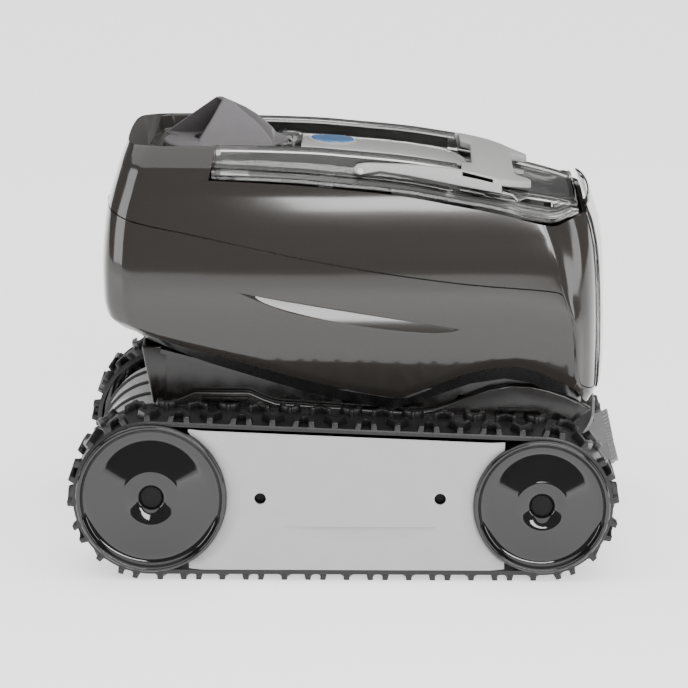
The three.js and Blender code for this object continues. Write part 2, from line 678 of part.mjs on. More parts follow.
// ---------------------------------------------------------------- filter
function filterOutline(inset, top) {
  return [[-20 + inset, 130 + inset], [62, 130 + inset], [134 - inset, 152 + inset], [142 - inset, 200], [138 - inset, 226 + top],
    [-20 + inset, 248 + top]];
}

function filterBasket() {
  const outside = sidePlate(filterOutline(0, 0), -66, 66);
  const inside = sidePlate(filterOutline(WALL, 20), -63, 63);
  const windows = [[0, 56], [62, 122]].map(([x0, x1]) => block(x0, x1, -80, 80, 165, 215));
  const inlet = block(5, 45, -40, 40, 120, 140);
  const ears = [-1, 1].map((side) => block(-2, 4, ...span(side, 42.6, 45.4), 132, 140));
  const pinHole = rod("y", FLAP_HINGE, 1.8, -50, 50, 12);
  return cut(join([cut(outside, [inside]), ...ears]), [...windows, inlet, pinHole]);
}

/** The fine screen that lines the basket. */
function filterScreen() {
  const outside = sidePlate(filterOutline(3.6, -3), -62.4, 62.4);
  const inside = sidePlate(filterOutline(4.8, 20), -61.2, 61.2);
  const inlet = block(-6, 58, -52, 52, 120, 146);
  return cut(outside, [inside, inlet]);
}

/** The basket's cover with its grip. */
function filterCover() {
  const outline = [[-20, 248.6], [138, 226.6], [138, 229.6], [-20, 251.6]];
  const plate = sidePlate(outline, -66, 66);
  const vent = block(-10, 30, -50, 50, 200, 260);
  const grip = cut(sidePlate([[52, 240.5], [92, 235], [86, 245], [58, 249]], -8, 8), [
    sidePlate([[60, 236], [86, 232], [81, 242], [63, 244.6]], -10, 10),
  ]);
  return cut(join([plate, grip]), [vent]);
}

const intakeDuct = () =>
  cut(block(0, 50, -45, 45, 20, 129.4), [block(2.5, 47.5, -42.5, 42.5, 10, 140)]);

function intakeFlap() {
  const plate = block(2, 48, -42, 42, 135.2, 137);
  const knuckle = rod("y", FLAP_HINGE, 3, -42, 42, 12);
  return cut(join([plate, knuckle]), [rod("y", FLAP_HINGE, 1.8, -50, 50, 12)]);
}

const flapPin = () => rod("y", FLAP_HINGE, 1.4, -45.5, 45.5, 12);

// ---------------------------------------------------------------- lid and handle
/** Half of the lid's section at a place along the length, as [y, z] rows from the skirt to the middle. */
function lidHalf(x, inset) {
  const edge = along(LID_EDGE, x);
  const hump = along(HUMP_TOP, x);
  const railed = x <= RAIL_END_X;
  const deck = railed ? hump - 6 : Math.min(hump - 1, edge + 15);
  const rail = railed ? along(RAIL_TOP, x) : deck;
  const taper = Math.max(0, x - 120) * 0.12;
  const width = 86 - Math.max(0, x - 120) * 0.2;
  const ledge = Math.min(edge + 6, deck);
  return [
    [width - inset, edge], [width - 1.5 - inset, ledge - 1 - inset], [73 - inset - taper, ledge - inset],
    [72 - inset - taper, rail - inset], [60 + inset - taper, rail - inset], [58 + inset - taper, deck - inset],
    [44 - inset, deck - inset], [42 - inset, (railed ? hump : deck) - inset], [0, (railed ? hump : deck) + 0.5 - inset],
  ];
}

/** The lid's closed section at a place, with its underside moved in by a wall's thickness. */
function lidSection(x, wall) {
  const outside = lidHalf(x, 0).map(([y, z]) => new THREE.Vector3(x, y, z));
  const mirror = (points) => points.map((p) => new THREE.Vector3(p.x, -p.y, p.z));
  const over = [...outside, ...mirror(outside).reverse().slice(1)];
  if (wall === 0) return over;
  const inside = lidHalf(x, wall).map(([y, z]) => new THREE.Vector3(x, y, z));
  return [...over, ...mirror(inside), ...inside.reverse().slice(1)];
}

function lidBody() {
  const places = [LID_REAR_X, -60, -42, -8, 37, RAIL_END_X, RAIL_END_X + 0.8, 100, 130, LID_FRONT_X];
  const shell = loft(places.map((x) => lidSection(x, LID_WALL)));
  const frontWall = loft([LID_FRONT_X - 3, LID_FRONT_X].map((x) => lidSection(x, 0)));
  const clearance = rod("z", [PUMP_X, 0, 0], NOZZLE_R + 2.5, 240, 300, 32);
  const pinHoles = rod("y", [LID_HINGE.x, 0, LID_HINGE.z], LID_HINGE.r + GAP, -100, 100, 12);
  const ears = [-1, 1].map((side) => rod("y", [LID_HINGE.x, 0, LID_HINGE.z], 3.5, ...span(side, 62, 71.5), 16));
  const slots = [-1, 1].map((side) => block(-100, -80, ...span(side, 56, 62), 250, 300));
  const handleHoles = rod("y", [HANDLE_PIVOT.x, 0, HANDLE_PIVOT.z], HANDLE_PIVOT.r + GAP, -100, 100, 12);
  return cut(join([cut(join([shell, frontWall]), slots), ...ears]), [clearance, pinHoles, handleHoles]);
}

/** A hinge pin of the lid, held in the shell's shoulder. */
function lidPin(side) {
  return rod("y", [LID_HINGE.x, 0, LID_HINGE.z], LID_HINGE.r, ...span(side, 57, 71), 12);
}

/** The forked handle: two arms outside the rails and a bridge in front of them. */
function handle() {
  const half = [[113, 0], [114, 42], [124, 47], [124, 57], [107, 75], [98, HANDLE_Y[1]]];
  const rear = [[78, HANDLE_Y[1]], [78, 44], [84, 38], [84.5, 0]];
  const outline = [...half, ...rear];
  const mirrored = [...outline, ...[...outline].reverse().map(([x, y]) => [x, -y])].filter(
    ([x, y], i, all) => i === 0 || x !== all[i - 1][0] || y !== all[i - 1][1],
  );
  const unique = mirrored.slice(0, -1);
  const slab = flatPlate(unique, 240, 275);
  const profile = [[70, 262], [84, 259], [113, 253.6], [130, 250], [130, 253.6], [113, 257.2], [84, 262.6], [70, 266]];
  const bridge = slab.intersect(sidePlate(profile, -100, 100));
  const arms = [-1, 1].map((side) => {
    const y = side < 0 ? [-HANDLE_Y[1], -HANDLE_Y[0]] : HANDLE_Y;
    const outlineArm = [[4, 265], [9, 264], [60, 257.5], [100, 252], [100, 256.6], [76, 264], [30, 270], [12, 272], [5, 271]];
    return sidePlate(outlineArm, ...y);
  });
  const holes = rod("y", [HANDLE_PIVOT.x, 0, HANDLE_PIVOT.z], HANDLE_PIVOT.r + GAP, -100, 100, 12);
  return cut(join([bridge, ...arms]), [holes]);
}

function handlePin(side) {
  return rod("y", [HANDLE_PIVOT.x, 0, HANDLE_PIVOT.z], HANDLE_PIVOT.r, ...span(side, 70, 81), 12);
}

/** The badge on the lid's middle, left blank. */
function badge() {
  const shape = new THREE.Shape();
  shape.absellipse(-6, 0, 17, 22, 0, 2 * Math.PI, false, 0);
  const geometry = new THREE.ExtrudeGeometry(shape, { depth: 1.2, bevelEnabled: false, curveSegments: 12 });
  geometry.translate(6, 0, 0);
  geometry.rotateY(0.103);
  geometry.translate(-6, 0, along(HUMP_TOP, -6) + 1.6);
  return solidOf(geometry);
}

// ---------------------------------------------------------------- assembly
part("chassis_tub", chassisTub(), BLACK);
part("lower_shell", lowerShell(), BODY);
part("upper_shell", upperShell(), BODY);

for (const [name, side] of [["right", -1], ["left", 1]]) {
  part(`${name}_side_frame`, sideFrame(side), BLACK);
  part(`${name}_track_frame`, trackFrame(side), BLACK);
  part(`${name}_side_panel`, sidePanel(side), PANEL_GREY);
  part(`${name}_track`, track(side), RUBBER);
  for (const [end, axle] of [["rear", REAR], ["front", FRONT]]) {
    part(`${name}_${end}_wheel`, wheel(axle, side, axle === REAR), WHEEL_BLACK);
    part(`${name}_${end}_wheel_cap`, wheelCap(axle, side), WHEEL_BLACK);
    part(`${name}_${end}_bush`, wheelBush(axle, side), WHITE);
    part(`${name}_${end}_axle`, wheelAxle(axle, side), STEEL);
  }
  PANEL_SCREW_X.forEach((x, i) => part(`${name}_panel_screw_${i + 1}`, panelScrew(side, x), STEEL));
  part(`${name}_drive_pinion`, drivePinion(side), WHITE);
  part(`${name}_lid_pin`, lidPin(side), STEEL);
  part(`${name}_handle_pin`, handlePin(side), STEEL);
}

part("rear_roller", rearRoller(), RUBBER);
part("rear_roller_shaft", rollerShaft(REAR), STEEL);
part("front_brush_core", brushCore(), BLACK);
part("front_brush_lamellae", brushLamellae(), RUBBER);
part("front_brush_shaft", rollerShaft(BRUSH), STEEL);

part("motor_housing", motorHousing(), BLACK);
part("motor_cover", motorCover(), BLACK);
part("shaft_seal", shaftSeal(), RUBBER);
part("pump_shaft", pumpShaft(), STEEL);
part("impeller", impeller(), WHITE);
part("outlet_duct", outletDuct(), BLACK);
part("outlet_grille", outletGrille(), BLACK);
part("nozzle", nozzle(), NOZZLE_GREY);
part("cable_gland", cableGland(), BLACK);

part("filter_basket", filterBasket(), BLACK);
part("filter_screen", filterScreen(), WHITE);
part("filter_cover", filterCover(), BLACK);
part("intake_duct", intakeDuct(), BLACK);
part("intake_flap", intakeFlap(), RUBBER);
part("intake_flap_pin", flapPin(), STEEL);

part("lid", lidBody(), CLEAR);
part("handle", handle(), HANDLE_GREY);
part("badge", badge(), BLUE);

export default group;
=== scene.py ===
"""A tracked robot pool cleaner, dressed for the studio.

The machine stands on the floor with its brush towards +X. Sizes are in millimetres in the classes and are
turned to metres when a mesh is placed. "right" is the -Y side and "left" the +Y side.
"""
import json
import logging
import math
from collections.abc import Callable, Iterator, Sequence
from contextlib import contextmanager
from dataclasses import dataclass, field
from enum import Enum

import bmesh
import bpy
from mathutils import Matrix, Vector

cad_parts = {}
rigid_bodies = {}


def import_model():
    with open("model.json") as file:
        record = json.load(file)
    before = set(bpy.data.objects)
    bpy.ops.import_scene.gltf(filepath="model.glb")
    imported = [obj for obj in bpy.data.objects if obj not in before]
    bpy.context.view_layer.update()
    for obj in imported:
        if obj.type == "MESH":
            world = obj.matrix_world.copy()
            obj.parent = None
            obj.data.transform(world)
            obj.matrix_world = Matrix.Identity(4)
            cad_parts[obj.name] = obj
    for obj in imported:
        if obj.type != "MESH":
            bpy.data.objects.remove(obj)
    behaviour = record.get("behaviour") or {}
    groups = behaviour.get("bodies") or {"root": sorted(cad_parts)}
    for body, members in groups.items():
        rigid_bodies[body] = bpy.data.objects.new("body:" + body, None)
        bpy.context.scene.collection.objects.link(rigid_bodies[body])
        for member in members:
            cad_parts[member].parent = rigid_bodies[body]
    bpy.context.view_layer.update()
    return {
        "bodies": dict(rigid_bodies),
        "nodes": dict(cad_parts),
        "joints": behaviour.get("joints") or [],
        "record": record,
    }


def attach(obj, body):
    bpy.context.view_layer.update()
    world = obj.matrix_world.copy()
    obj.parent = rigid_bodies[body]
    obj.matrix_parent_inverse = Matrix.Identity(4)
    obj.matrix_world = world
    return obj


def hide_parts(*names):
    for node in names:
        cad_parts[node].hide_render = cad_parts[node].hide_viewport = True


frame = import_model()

LOG = logging.getLogger("pool_cleaner")
MM = 0.001
SIDES = {"right": -1.0, "left": 1.0}
PUMP_X = -84.5  # the pump's upright axis, which the nozzle turns about
MERGE = 2e-6  # vertices nearer than this, in metres, are one

Row = tuple[float, float]
Table = Sequence[Row]


# ------------------------------------------------------------------ numbers
def read_table(table: Table, place: float) -> float:
    """Read a value between the rows of a table, with a smooth curve through the rows.

    Args:
        table: Rows of place and value, with rising places.
        place: Where to read.

    Returns:
        The value there, held level beyond both ends.
    """
    if place <= table[0][0]:
        return table[0][1]
    if place >= table[-1][0]:
        return table[-1][1]
    slopes = [(b[1] - a[1]) / (b[0] - a[0]) for a, b in zip(table, table[1:])]
    i = next(k for k in range(len(slopes)) if place <= table[k + 1][0])

    def tangent(k: int) -> float:
        """Slope at a row: the harmonic mean of its neighbours, or level at a turn."""
        if k in (0, len(slopes)):
            return slopes[min(k, len(slopes) - 1)]
        a, b = slopes[k - 1], slopes[k]
        return 0.0 if a * b <= 0 else 2 * a * b / (a + b)

    (x0, y0), (x1, y1) = table[i], table[i + 1]
    step = x1 - x0
    t = (place - x0) / step
    start, end = tangent(i) * step, tangent(i + 1) * step
    return (
        y0 * (2 * t**3 - 3 * t**2 + 1)
        + start * (t**3 - 2 * t**2 + t)
        + y1 * (3 * t**2 - 2 * t**3)
        + end * (t**3 - t**2)
    )


def spread(low: float, high: float, count: int) -> list[float]:
    """Evenly spaced numbers from low to high, both included."""
    return [low + (high - low) * i / (count - 1) for i in range(count)]


def place_mm(x: float, y: float, z: float) -> Vector:
    """A point given in millimetres, in metres."""
    return Vector((x * MM, y * MM, z * MM))


# ------------------------------------------------------------------ modelling bench
class Pick(Enum):
    """What a selection in edit mode is made of."""

    VERTS = "VERT"
    EDGES = "EDGE"
    FACES = "FACE"


def add_primitive(name: str, operator: Callable, **options: object) -> bpy.types.Object:
    """Add a primitive with its place in its mesh.

    Args:
        name: The new object's name.
        operator: One of Blender's operators that add a primitive.
        options: The operator's settings.

    Returns:
        The new object, at the origin and unturned.
    """
    bpy.ops.object.select_all(action="DESELECT")
    operator(**options)
    piece = bpy.context.active_object
    piece.name = name
    piece.data.name = name
    bpy.ops.object.transform_apply(location=True, rotation=True, scale=True)
    return piece


@contextmanager
def editing(piece: bpy.types.Object) -> Iterator[None]:
    """Hold a piece in edit mode, alone and all selected, for the length of a with block."""
    bpy.ops.object.select_all(action="DESELECT")
    piece.select_set(True)
    bpy.context.view_layer.objects.active = piece
    bpy.ops.object.mode_set(mode="EDIT")
    bpy.ops.mesh.select_all(action="SELECT")
    yield
    bpy.ops.object.mode_set(mode="OBJECT")


def pick(piece: bpy.types.Object, kind: Pick, test: Callable) -> None:
    """Select what passes a test, in edit mode.

    Args:
        piece: The piece being edited.
        kind: Whether verts, edges or faces are tested.
        test: Takes a vert, edge or face and says whether it is selected.
    """
    bpy.ops.mesh.select_mode(type=kind.value)
    bpy.ops.mesh.select_all(action="DESELECT")
    mesh = bmesh.from_edit_mesh(piece.data)
    items = {Pick.VERTS: mesh.verts, Pick.EDGES: mesh.edges, Pick.FACES: mesh.faces}[kind]
    for item in items:
        item.select = bool(test(item))
    mesh.select_flush_mode()
    bmesh.update_edit_mesh(piece.data)


def mould(piece: bpy.types.Object, shape: Callable[[Vector], Vector]) -> None:
    """Move every vertex of a piece in edit mode to where a function puts it."""
    mesh = bmesh.from_edit_mesh(piece.data)
    for vert in mesh.verts:
        vert.co = shape(vert.co.copy())
    bmesh.update_edit_mesh(piece.data)


def heal() -> None:
    """Merge doubled vertices of the edited piece and point its faces outwards."""
    bpy.ops.mesh.select_all(action="SELECT")
    bpy.ops.mesh.remove_doubles(threshold=MERGE)
    bpy.ops.mesh.normals_make_consistent(inside=False)


def modify(piece: bpy.types.Object, kind: str, **settings: object) -> None:
    """Add a modifier to a piece and apply it.

    Args:
        piece: The piece, which must be in object mode.
        kind: The modifier's type.
        settings: The modifier's settings.
    """
    modifier = piece.modifiers.new(kind.title(), kind)
    for name, value in settings.items():
        setattr(modifier, name, value)
    bpy.ops.object.select_all(action="DESELECT")
    piece.select_set(True)
    bpy.context.view_layer.objects.active = piece
    bpy.ops.object.modifier_apply(modifier=modifier.name)


def round_edges(piece: bpy.types.Object, width: float, segments: int = 2, angle: float = 40) -> None:
    """Round a piece's sharp edges by a width in millimetres."""
    modify(piece, "BEVEL", width=width * MM, segments=segments, limit_method="ANGLE",
           angle_limit=math.radians(angle), use_clamp_overlap=True)


def carve(piece: bpy.types.Object, tool: bpy.types.Object) -> None:
    """Cut a piece with a tool and throw the tool away."""
    modify(piece, "BOOLEAN", object=tool, operation="DIFFERENCE", solver="EXACT")
    bpy.data.objects.remove(tool, do_unlink=True)


def weld(name: str, pieces: Sequence[bpy.types.Object]) -> bpy.types.Object:
    """Put several meshes into one object.

    Args:
        name: The joined object's name.
        pieces: The objects, of which the first is kept.

    Returns:
        The joined object.
    """
    bpy.ops.object.select_all(action="DESELECT")
    for piece in pieces:
        piece.select_set(True)
    bpy.context.view_layer.objects.active = pieces[0]
    if len(pieces) > 1:
        bpy.ops.object.join()
    pieces[0].name = name
    pieces[0].data.name = name
    return pieces[0]


def duplicate(piece: bpy.types.Object, name: str) -> bpy.types.Object:
    """A copy of a piece with a mesh of its own."""
    copy = piece.copy()
    copy.data = piece.data.copy()
    copy.name = name
    copy.data.name = name
    bpy.context.collection.objects.link(copy)
    return copy


def mirror(piece: bpy.types.Object, name: str) -> bpy.types.Object:
    """A copy of a piece on the machine's other side."""
    copy = duplicate(piece, name)
    with editing(copy):
        mould(copy, lambda p: Vector((p.x, -p.y, p.z)))
        bpy.ops.mesh.flip_normals()
    return copy


def plate(name: str, outline: Sequence[Row], low: float, high: float, along: str = "Y") -> bpy.types.Object:
    """A flat outline extruded to a plate.

    Args:
        name: The plate's name.
        outline: Corners in X and Z, or in X and Y where the plate is extruded along Z.
        low: Where the extrusion starts, in millimetres.
        high: Where it ends.
        along: "Y" or "Z".

    Returns:
        The plate.
    """
    piece = add_primitive(name, bpy.ops.mesh.primitive_circle_add, vertices=len(outline), fill_type="NGON")
    with editing(piece):
        mesh = bmesh.from_edit_mesh(piece.data)
        mesh.verts.ensure_lookup_table()
        for vert, (a, b) in zip(mesh.verts, outline):
            vert.co = place_mm(a, low, b) if along == "Y" else place_mm(a, b, low)
        bmesh.update_edit_mesh(piece.data)
        lift = (0, (high - low) * MM, 0) if along == "Y" else (0, 0, (high - low) * MM)
        bpy.ops.mesh.extrude_region_move(TRANSFORM_OT_translate={"value": lift})
        heal()
    return piece


def turned(name: str, profile: Sequence[Row], centre: Vector, axis: str = "Y", steps: int = 64) -> bpy.types.Object:
    """A closed profile spun about an axis.

    Args:
        name: The piece's name.
        profile: Rows of radius and place along the axis, in millimetres, measured from the origin.
        centre: A point on the axis, in millimetres.
        axis: "Y" or "Z".
        steps: Facets round the piece.

    Returns:
        The spun piece.
    """
    piece = add_primitive(name, bpy.ops.mesh.primitive_circle_add, vertices=len(profile), fill_type="NOTHING")
    with editing(piece):
        mesh = bmesh.from_edit_mesh(piece.data)
        mesh.verts.ensure_lookup_table()
        for vert, (radius, height) in zip(mesh.verts, profile):
            if axis == "Y":
                vert.co = place_mm(centre.x + radius, height, centre.z)
            else:
                vert.co = place_mm(centre.x + radius, centre.y, height)
        bmesh.update_edit_mesh(piece.data)
        direction = (0, 1, 0) if axis == "Y" else (0, 0, 1)
        bpy.ops.mesh.spin(steps=steps, angle=2 * math.pi, center=tuple(centre * MM), axis=direction)
        heal()
        bpy.ops.mesh.delete_loose(use_verts=True, use_edges=True, use_faces=False)
    return piece


def drill(
    piece: bpy.types.Object,
    radius: float,
    span: Row,
    centre: Vector,
    axis: str = "Z",
    steps: int = 64,
) -> None:
    """Cut a round hole through a piece.

    Args:
        piece: The piece.
        radius: The hole's radius in millimetres.
        span: Where the hole starts and ends along its axis.
        centre: A point on the axis, in millimetres.
        axis: "Y" or "Z".
        steps: Facets round the hole.
    """
    low, high = span
    profile = [(0, low), (radius, low), (radius, high), (0, high)]
    carve(piece, turned("drill_tool", profile, centre, axis, steps))


def half_lens(segments: int, place: Callable[[Vector, float], Vector]) -> bpy.types.Object:
    """A long half lens, straight along its upper edge, that cuts an evenly sloping scoop.

    Args:
        segments: Facets round the lens.
        place: Takes a point of the unit lens and its depth share, which is negative towards the inside, and gives
            the point in metres.

    Returns:
        The cutting tool.
    """
    tool = add_primitive("scoop_tool", bpy.ops.mesh.primitive_uv_sphere_add, segments=segments,
                         ring_count=segments // 2)

    def lay(p: Vector) -> Vector:
        """Give the lens the same slope all the way from its lower edge up."""
        depth = max(0.0, p.z + math.sqrt(max(0.0, 1 - p.x**2)))
        return place(p, math.copysign(depth, p.y))

    with editing(tool):
        bpy.ops.mesh.bisect(plane_co=(0, 0, 0.02), plane_no=(0, 0, 1), clear_outer=True, use_fill=True)
        mould(tool, lay)
        heal()
    return tool


def skin(
    name: str,
    columns: Sequence[float],
    rows: Sequence[float],
    surface: Callable[[float, float], Vector],
    thickness: float = 0.0,
) -> bpy.types.Object:
    """A curved wall over a grid, made from a grid primitive.

    Args:
        name: The wall's name.
        columns: Values of the first parameter.
        rows: Values of the second parameter.
        surface: Gives the point, in millimetres, for a column and a row. Columns crossed with rows face out.
        thickness: The wall's thickness in millimetres, grown inwards, or 0 for an open sheet.

    Returns:
        The wall.
    """
    wide, high = len(columns) - 1, len(rows) - 1
    piece = add_primitive(name, bpy.ops.mesh.primitive_grid_add, x_subdivisions=wide, y_subdivisions=high, size=1)
    with editing(piece):
        mould(piece, lambda p: surface(columns[round((p.x + 0.5) * wide)], rows[round((p.y + 0.5) * high)]) * MM)
        bpy.ops.mesh.remove_doubles(threshold=MERGE)
    if thickness:
        modify(piece, "SOLIDIFY", thickness=thickness * MM, offset=-1, use_even_offset=False)
    return piece


def finish(
    piece: bpy.types.Object,
    look: bpy.types.Material,
    body: str,
    stands_for: Sequence[str] = (),
    angle: float = 35,
) -> bpy.types.Object:
    """Shade a piece, dress it and hang it on the frame.

    Args:
        piece: The finished mesh.
        look: Its material.
        body: The moving body that it rides on.
        stands_for: The solid nodes that it is shown in place of.
        angle: Edges sharper than this, in degrees, stay sharp.

    Returns:
        The piece.
    """
    bpy.ops.object.select_all(action="DESELECT")
    piece.select_set(True)
    bpy.context.view_layer.objects.active = piece
    bpy.ops.object.shade_smooth_by_angle(angle=math.radians(angle))
    piece.data.materials.clear()
    piece.data.materials.append(look)
    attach(piece, body)
    if stands_for:
        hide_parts(*stands_for)
    LOG.info("%s: %d faces on %s", piece.name, len(piece.data.polygons), body)
    return piece


def finish_both(
    left: bpy.types.Object,
    look: bpy.types.Material,
    body: str,
    stands_for: str,
    angle: float,
) -> None:
    """Finish a left piece and its mirror image.

    Args:
        left: The left piece, whose name starts with "left".
        look: The material of both.
        body: The body that they ride on, with {side} for the side.
        stands_for: The node that each is shown in place of, with {side} for the side, or an empty string.
        angle: Edges sharper than this, in degrees, stay sharp.
    """
    right = mirror(left, left.name.replace("left", "right", 1))
    for side, piece in (("left", left), ("right", right)):
        nodes = [stands_for.format(side=side)] if stands_for else []
        finish(piece, look, body.format(side=side), nodes, angle)


# ------------------------------------------------------------------ finishes
def linear(colour: str) -> tuple[float, float, float, float]:
    """An sRGB hex colour as linear red, green, blue and alpha."""
    channels = [int(colour[i:i + 2], 16) / 255 for i in (1, 3, 5)]
    red, green, blue = [c / 12.92 if c <= 0.04045 else ((c + 0.055) / 1.055) ** 2.4 for c in channels]
    return (red, green, blue, 1.0)


def add_node(
    tree: bpy.types.NodeTree,
    kind: str,
    inputs: dict[str | int, object],
    **settings: object,
) -> bpy.types.Node:
    """Add a node with its settings and links.

    Args:
        tree: The material's node tree.
        kind: The node's type.
        inputs: Values for the input sockets, or output sockets to link to them.
        settings: The node's own properties.

    Returns:
        The node.
    """
    node = tree.nodes.new(kind)
    for name, value in settings.items():
        setattr(node, name, value)
    for name, value in inputs.items():
        if isinstance(value, bpy.types.NodeSocket):
            tree.links.new(value, node.inputs[name])
        else:
            node.inputs[name].default_value = value
    return node


def start_material(name: str) -> tuple[bpy.types.Material, bpy.types.Node, bpy.types.NodeSocket]:
    """A new material, its shader and the Object coordinates that its pattern lies on."""
    material = bpy.data.materials.new(name)
    material.use_nodes = True
    place = add_node(material.node_tree, "ShaderNodeTexCoord", {})
    return material, material.node_tree.nodes["Principled BSDF"], place.outputs["Object"]


@dataclass(frozen=True)
class Finish:
    """A moulded, turned or enamelled surface: two close colours, a gloss range and a fine relief."""

    name: str
    dark: str
    light: str
    roughness: Row
    metallic: float = 0.0
    ior: float = 1.5
    coat: float = 0.0
    mottle: float = 4.0  # size of the colour's variation, mm
    grain: float = 0.6  # size of the surface relief, mm
    relief: float = 0.02  # depth of the relief, mm
    stretch: tuple[float, float, float] = (1.0, 1.0, 1.0)

    def make(self) -> bpy.types.Material:
        """Build the material's nodes and return it."""
        material, shader, place = start_material(self.name)
        tree = material.node_tree
        stretched = add_node(tree, "ShaderNodeMapping", {"Vector": place, "Scale": self.stretch})
        mottle = add_node(tree, "ShaderNodeTexNoise", {
            "Vector": stretched.outputs["Vector"], "Scale": 1 / (self.mottle * MM), "Detail": 3.0})
        grain = add_node(tree, "ShaderNodeTexNoise", {
            "Vector": stretched.outputs["Vector"], "Scale": 1 / (self.grain * MM), "Detail": 2.0})
        colour = add_node(tree, "ShaderNodeMix", {
            "Factor": mottle.outputs["Fac"], "A": linear(self.dark), "B": linear(self.light)}, data_type="RGBA")
        gloss = add_node(tree, "ShaderNodeMapRange", {
            "Value": grain.outputs["Fac"], "From Min": 0.3, "From Max": 0.7,
            "To Min": self.roughness[0], "To Max": self.roughness[1]})
        bump = add_node(tree, "ShaderNodeBump", {
            "Height": grain.outputs["Fac"], "Strength": 0.6, "Distance": self.relief * MM})
        tree.links.new(colour.outputs["Result"], shader.inputs["Base Color"])
        tree.links.new(gloss.outputs["Result"], shader.inputs["Roughness"])
        tree.links.new(bump.outputs["Normal"], shader.inputs["Normal"])
        shader.inputs["Metallic"].default_value = self.metallic
        shader.inputs["IOR"].default_value = self.ior
        shader.inputs["Coat Weight"].default_value = self.coat
        shader.inputs["Coat Roughness"].default_value = 0.04
        return material


@dataclass(frozen=True)
class ClearFinish:
    """A clear moulded plastic with a smoky tint."""

    name: str
    tint: str
    roughness: float
    ior: float = 1.49

    def make(self) -> bpy.types.Material:
        """Build the material's nodes and return it."""
        material, shader, place = start_material(self.name)
        tree = material.node_tree
        flow = add_node(tree, "ShaderNodeTexNoise", {"Vector": place, "Scale": 60.0, "Detail": 1.0})
        gloss = add_node(tree, "ShaderNodeMapRange", {
            "Value": flow.outputs["Fac"], "From Min": 0.3, "From Max": 0.7,
            "To Min": self.roughness * 0.6, "To Max": self.roughness * 1.4})
        # the melt's flow leaves a faint waviness about 15 mm long
        bump = add_node(tree, "ShaderNodeBump", {"Height": flow.outputs["Fac"], "Strength": 0.15, "Distance": 0.0004})
        tree.links.new(gloss.outputs["Result"], shader.inputs["Roughness"])
        tree.links.new(bump.outputs["Normal"], shader.inputs["Normal"])
        shader.inputs["Base Color"].default_value = linear(self.tint)
        shader.inputs["Transmission Weight"].default_value = 1.0
        shader.inputs["IOR"].default_value = self.ior
        return material


@dataclass(frozen=True)
class MeshFinish:
    """A woven nylon filter cloth with threads about 0.8 mm apart."""

    name: str
    thread: str
    gap: str
    spacing: float = 0.8  # mm

    def make(self) -> bpy.types.Material:
        """Build the material's nodes and return it."""
        material, shader, place = start_material(self.name)
        tree = material.node_tree
        waves = [
            add_node(tree, "ShaderNodeTexWave", {"Vector": place, "Scale": 0.314 / (self.spacing * MM)},
                     bands_direction=axis)
            for axis in ("X", "Z")
        ]
        weave = add_node(tree, "ShaderNodeMath", {0: waves[0].outputs["Fac"], 1: waves[1].outputs["Fac"]},
                         operation="MAXIMUM")
        colour = add_node(tree, "ShaderNodeMix", {
            "Factor": weave.outputs["Value"], "A": linear(self.gap), "B": linear(self.thread)}, data_type="RGBA")
        bump = add_node(tree, "ShaderNodeBump", {"Height": weave.outputs["Value"], "Strength": 0.8, "Distance": 0.0002})
        tree.links.new(colour.outputs["Result"], shader.inputs["Base Color"])
        tree.links.new(bump.outputs["Normal"], shader.inputs["Normal"])
        shader.inputs["Roughness"].default_value = 0.6
        return material


def ready(kind: type, *values: object, **options: object) -> bpy.types.Material:
    """A dataclass field that makes a finish's material when the finishes are gathered."""
    return field(default_factory=lambda: kind(*values, **options).make())


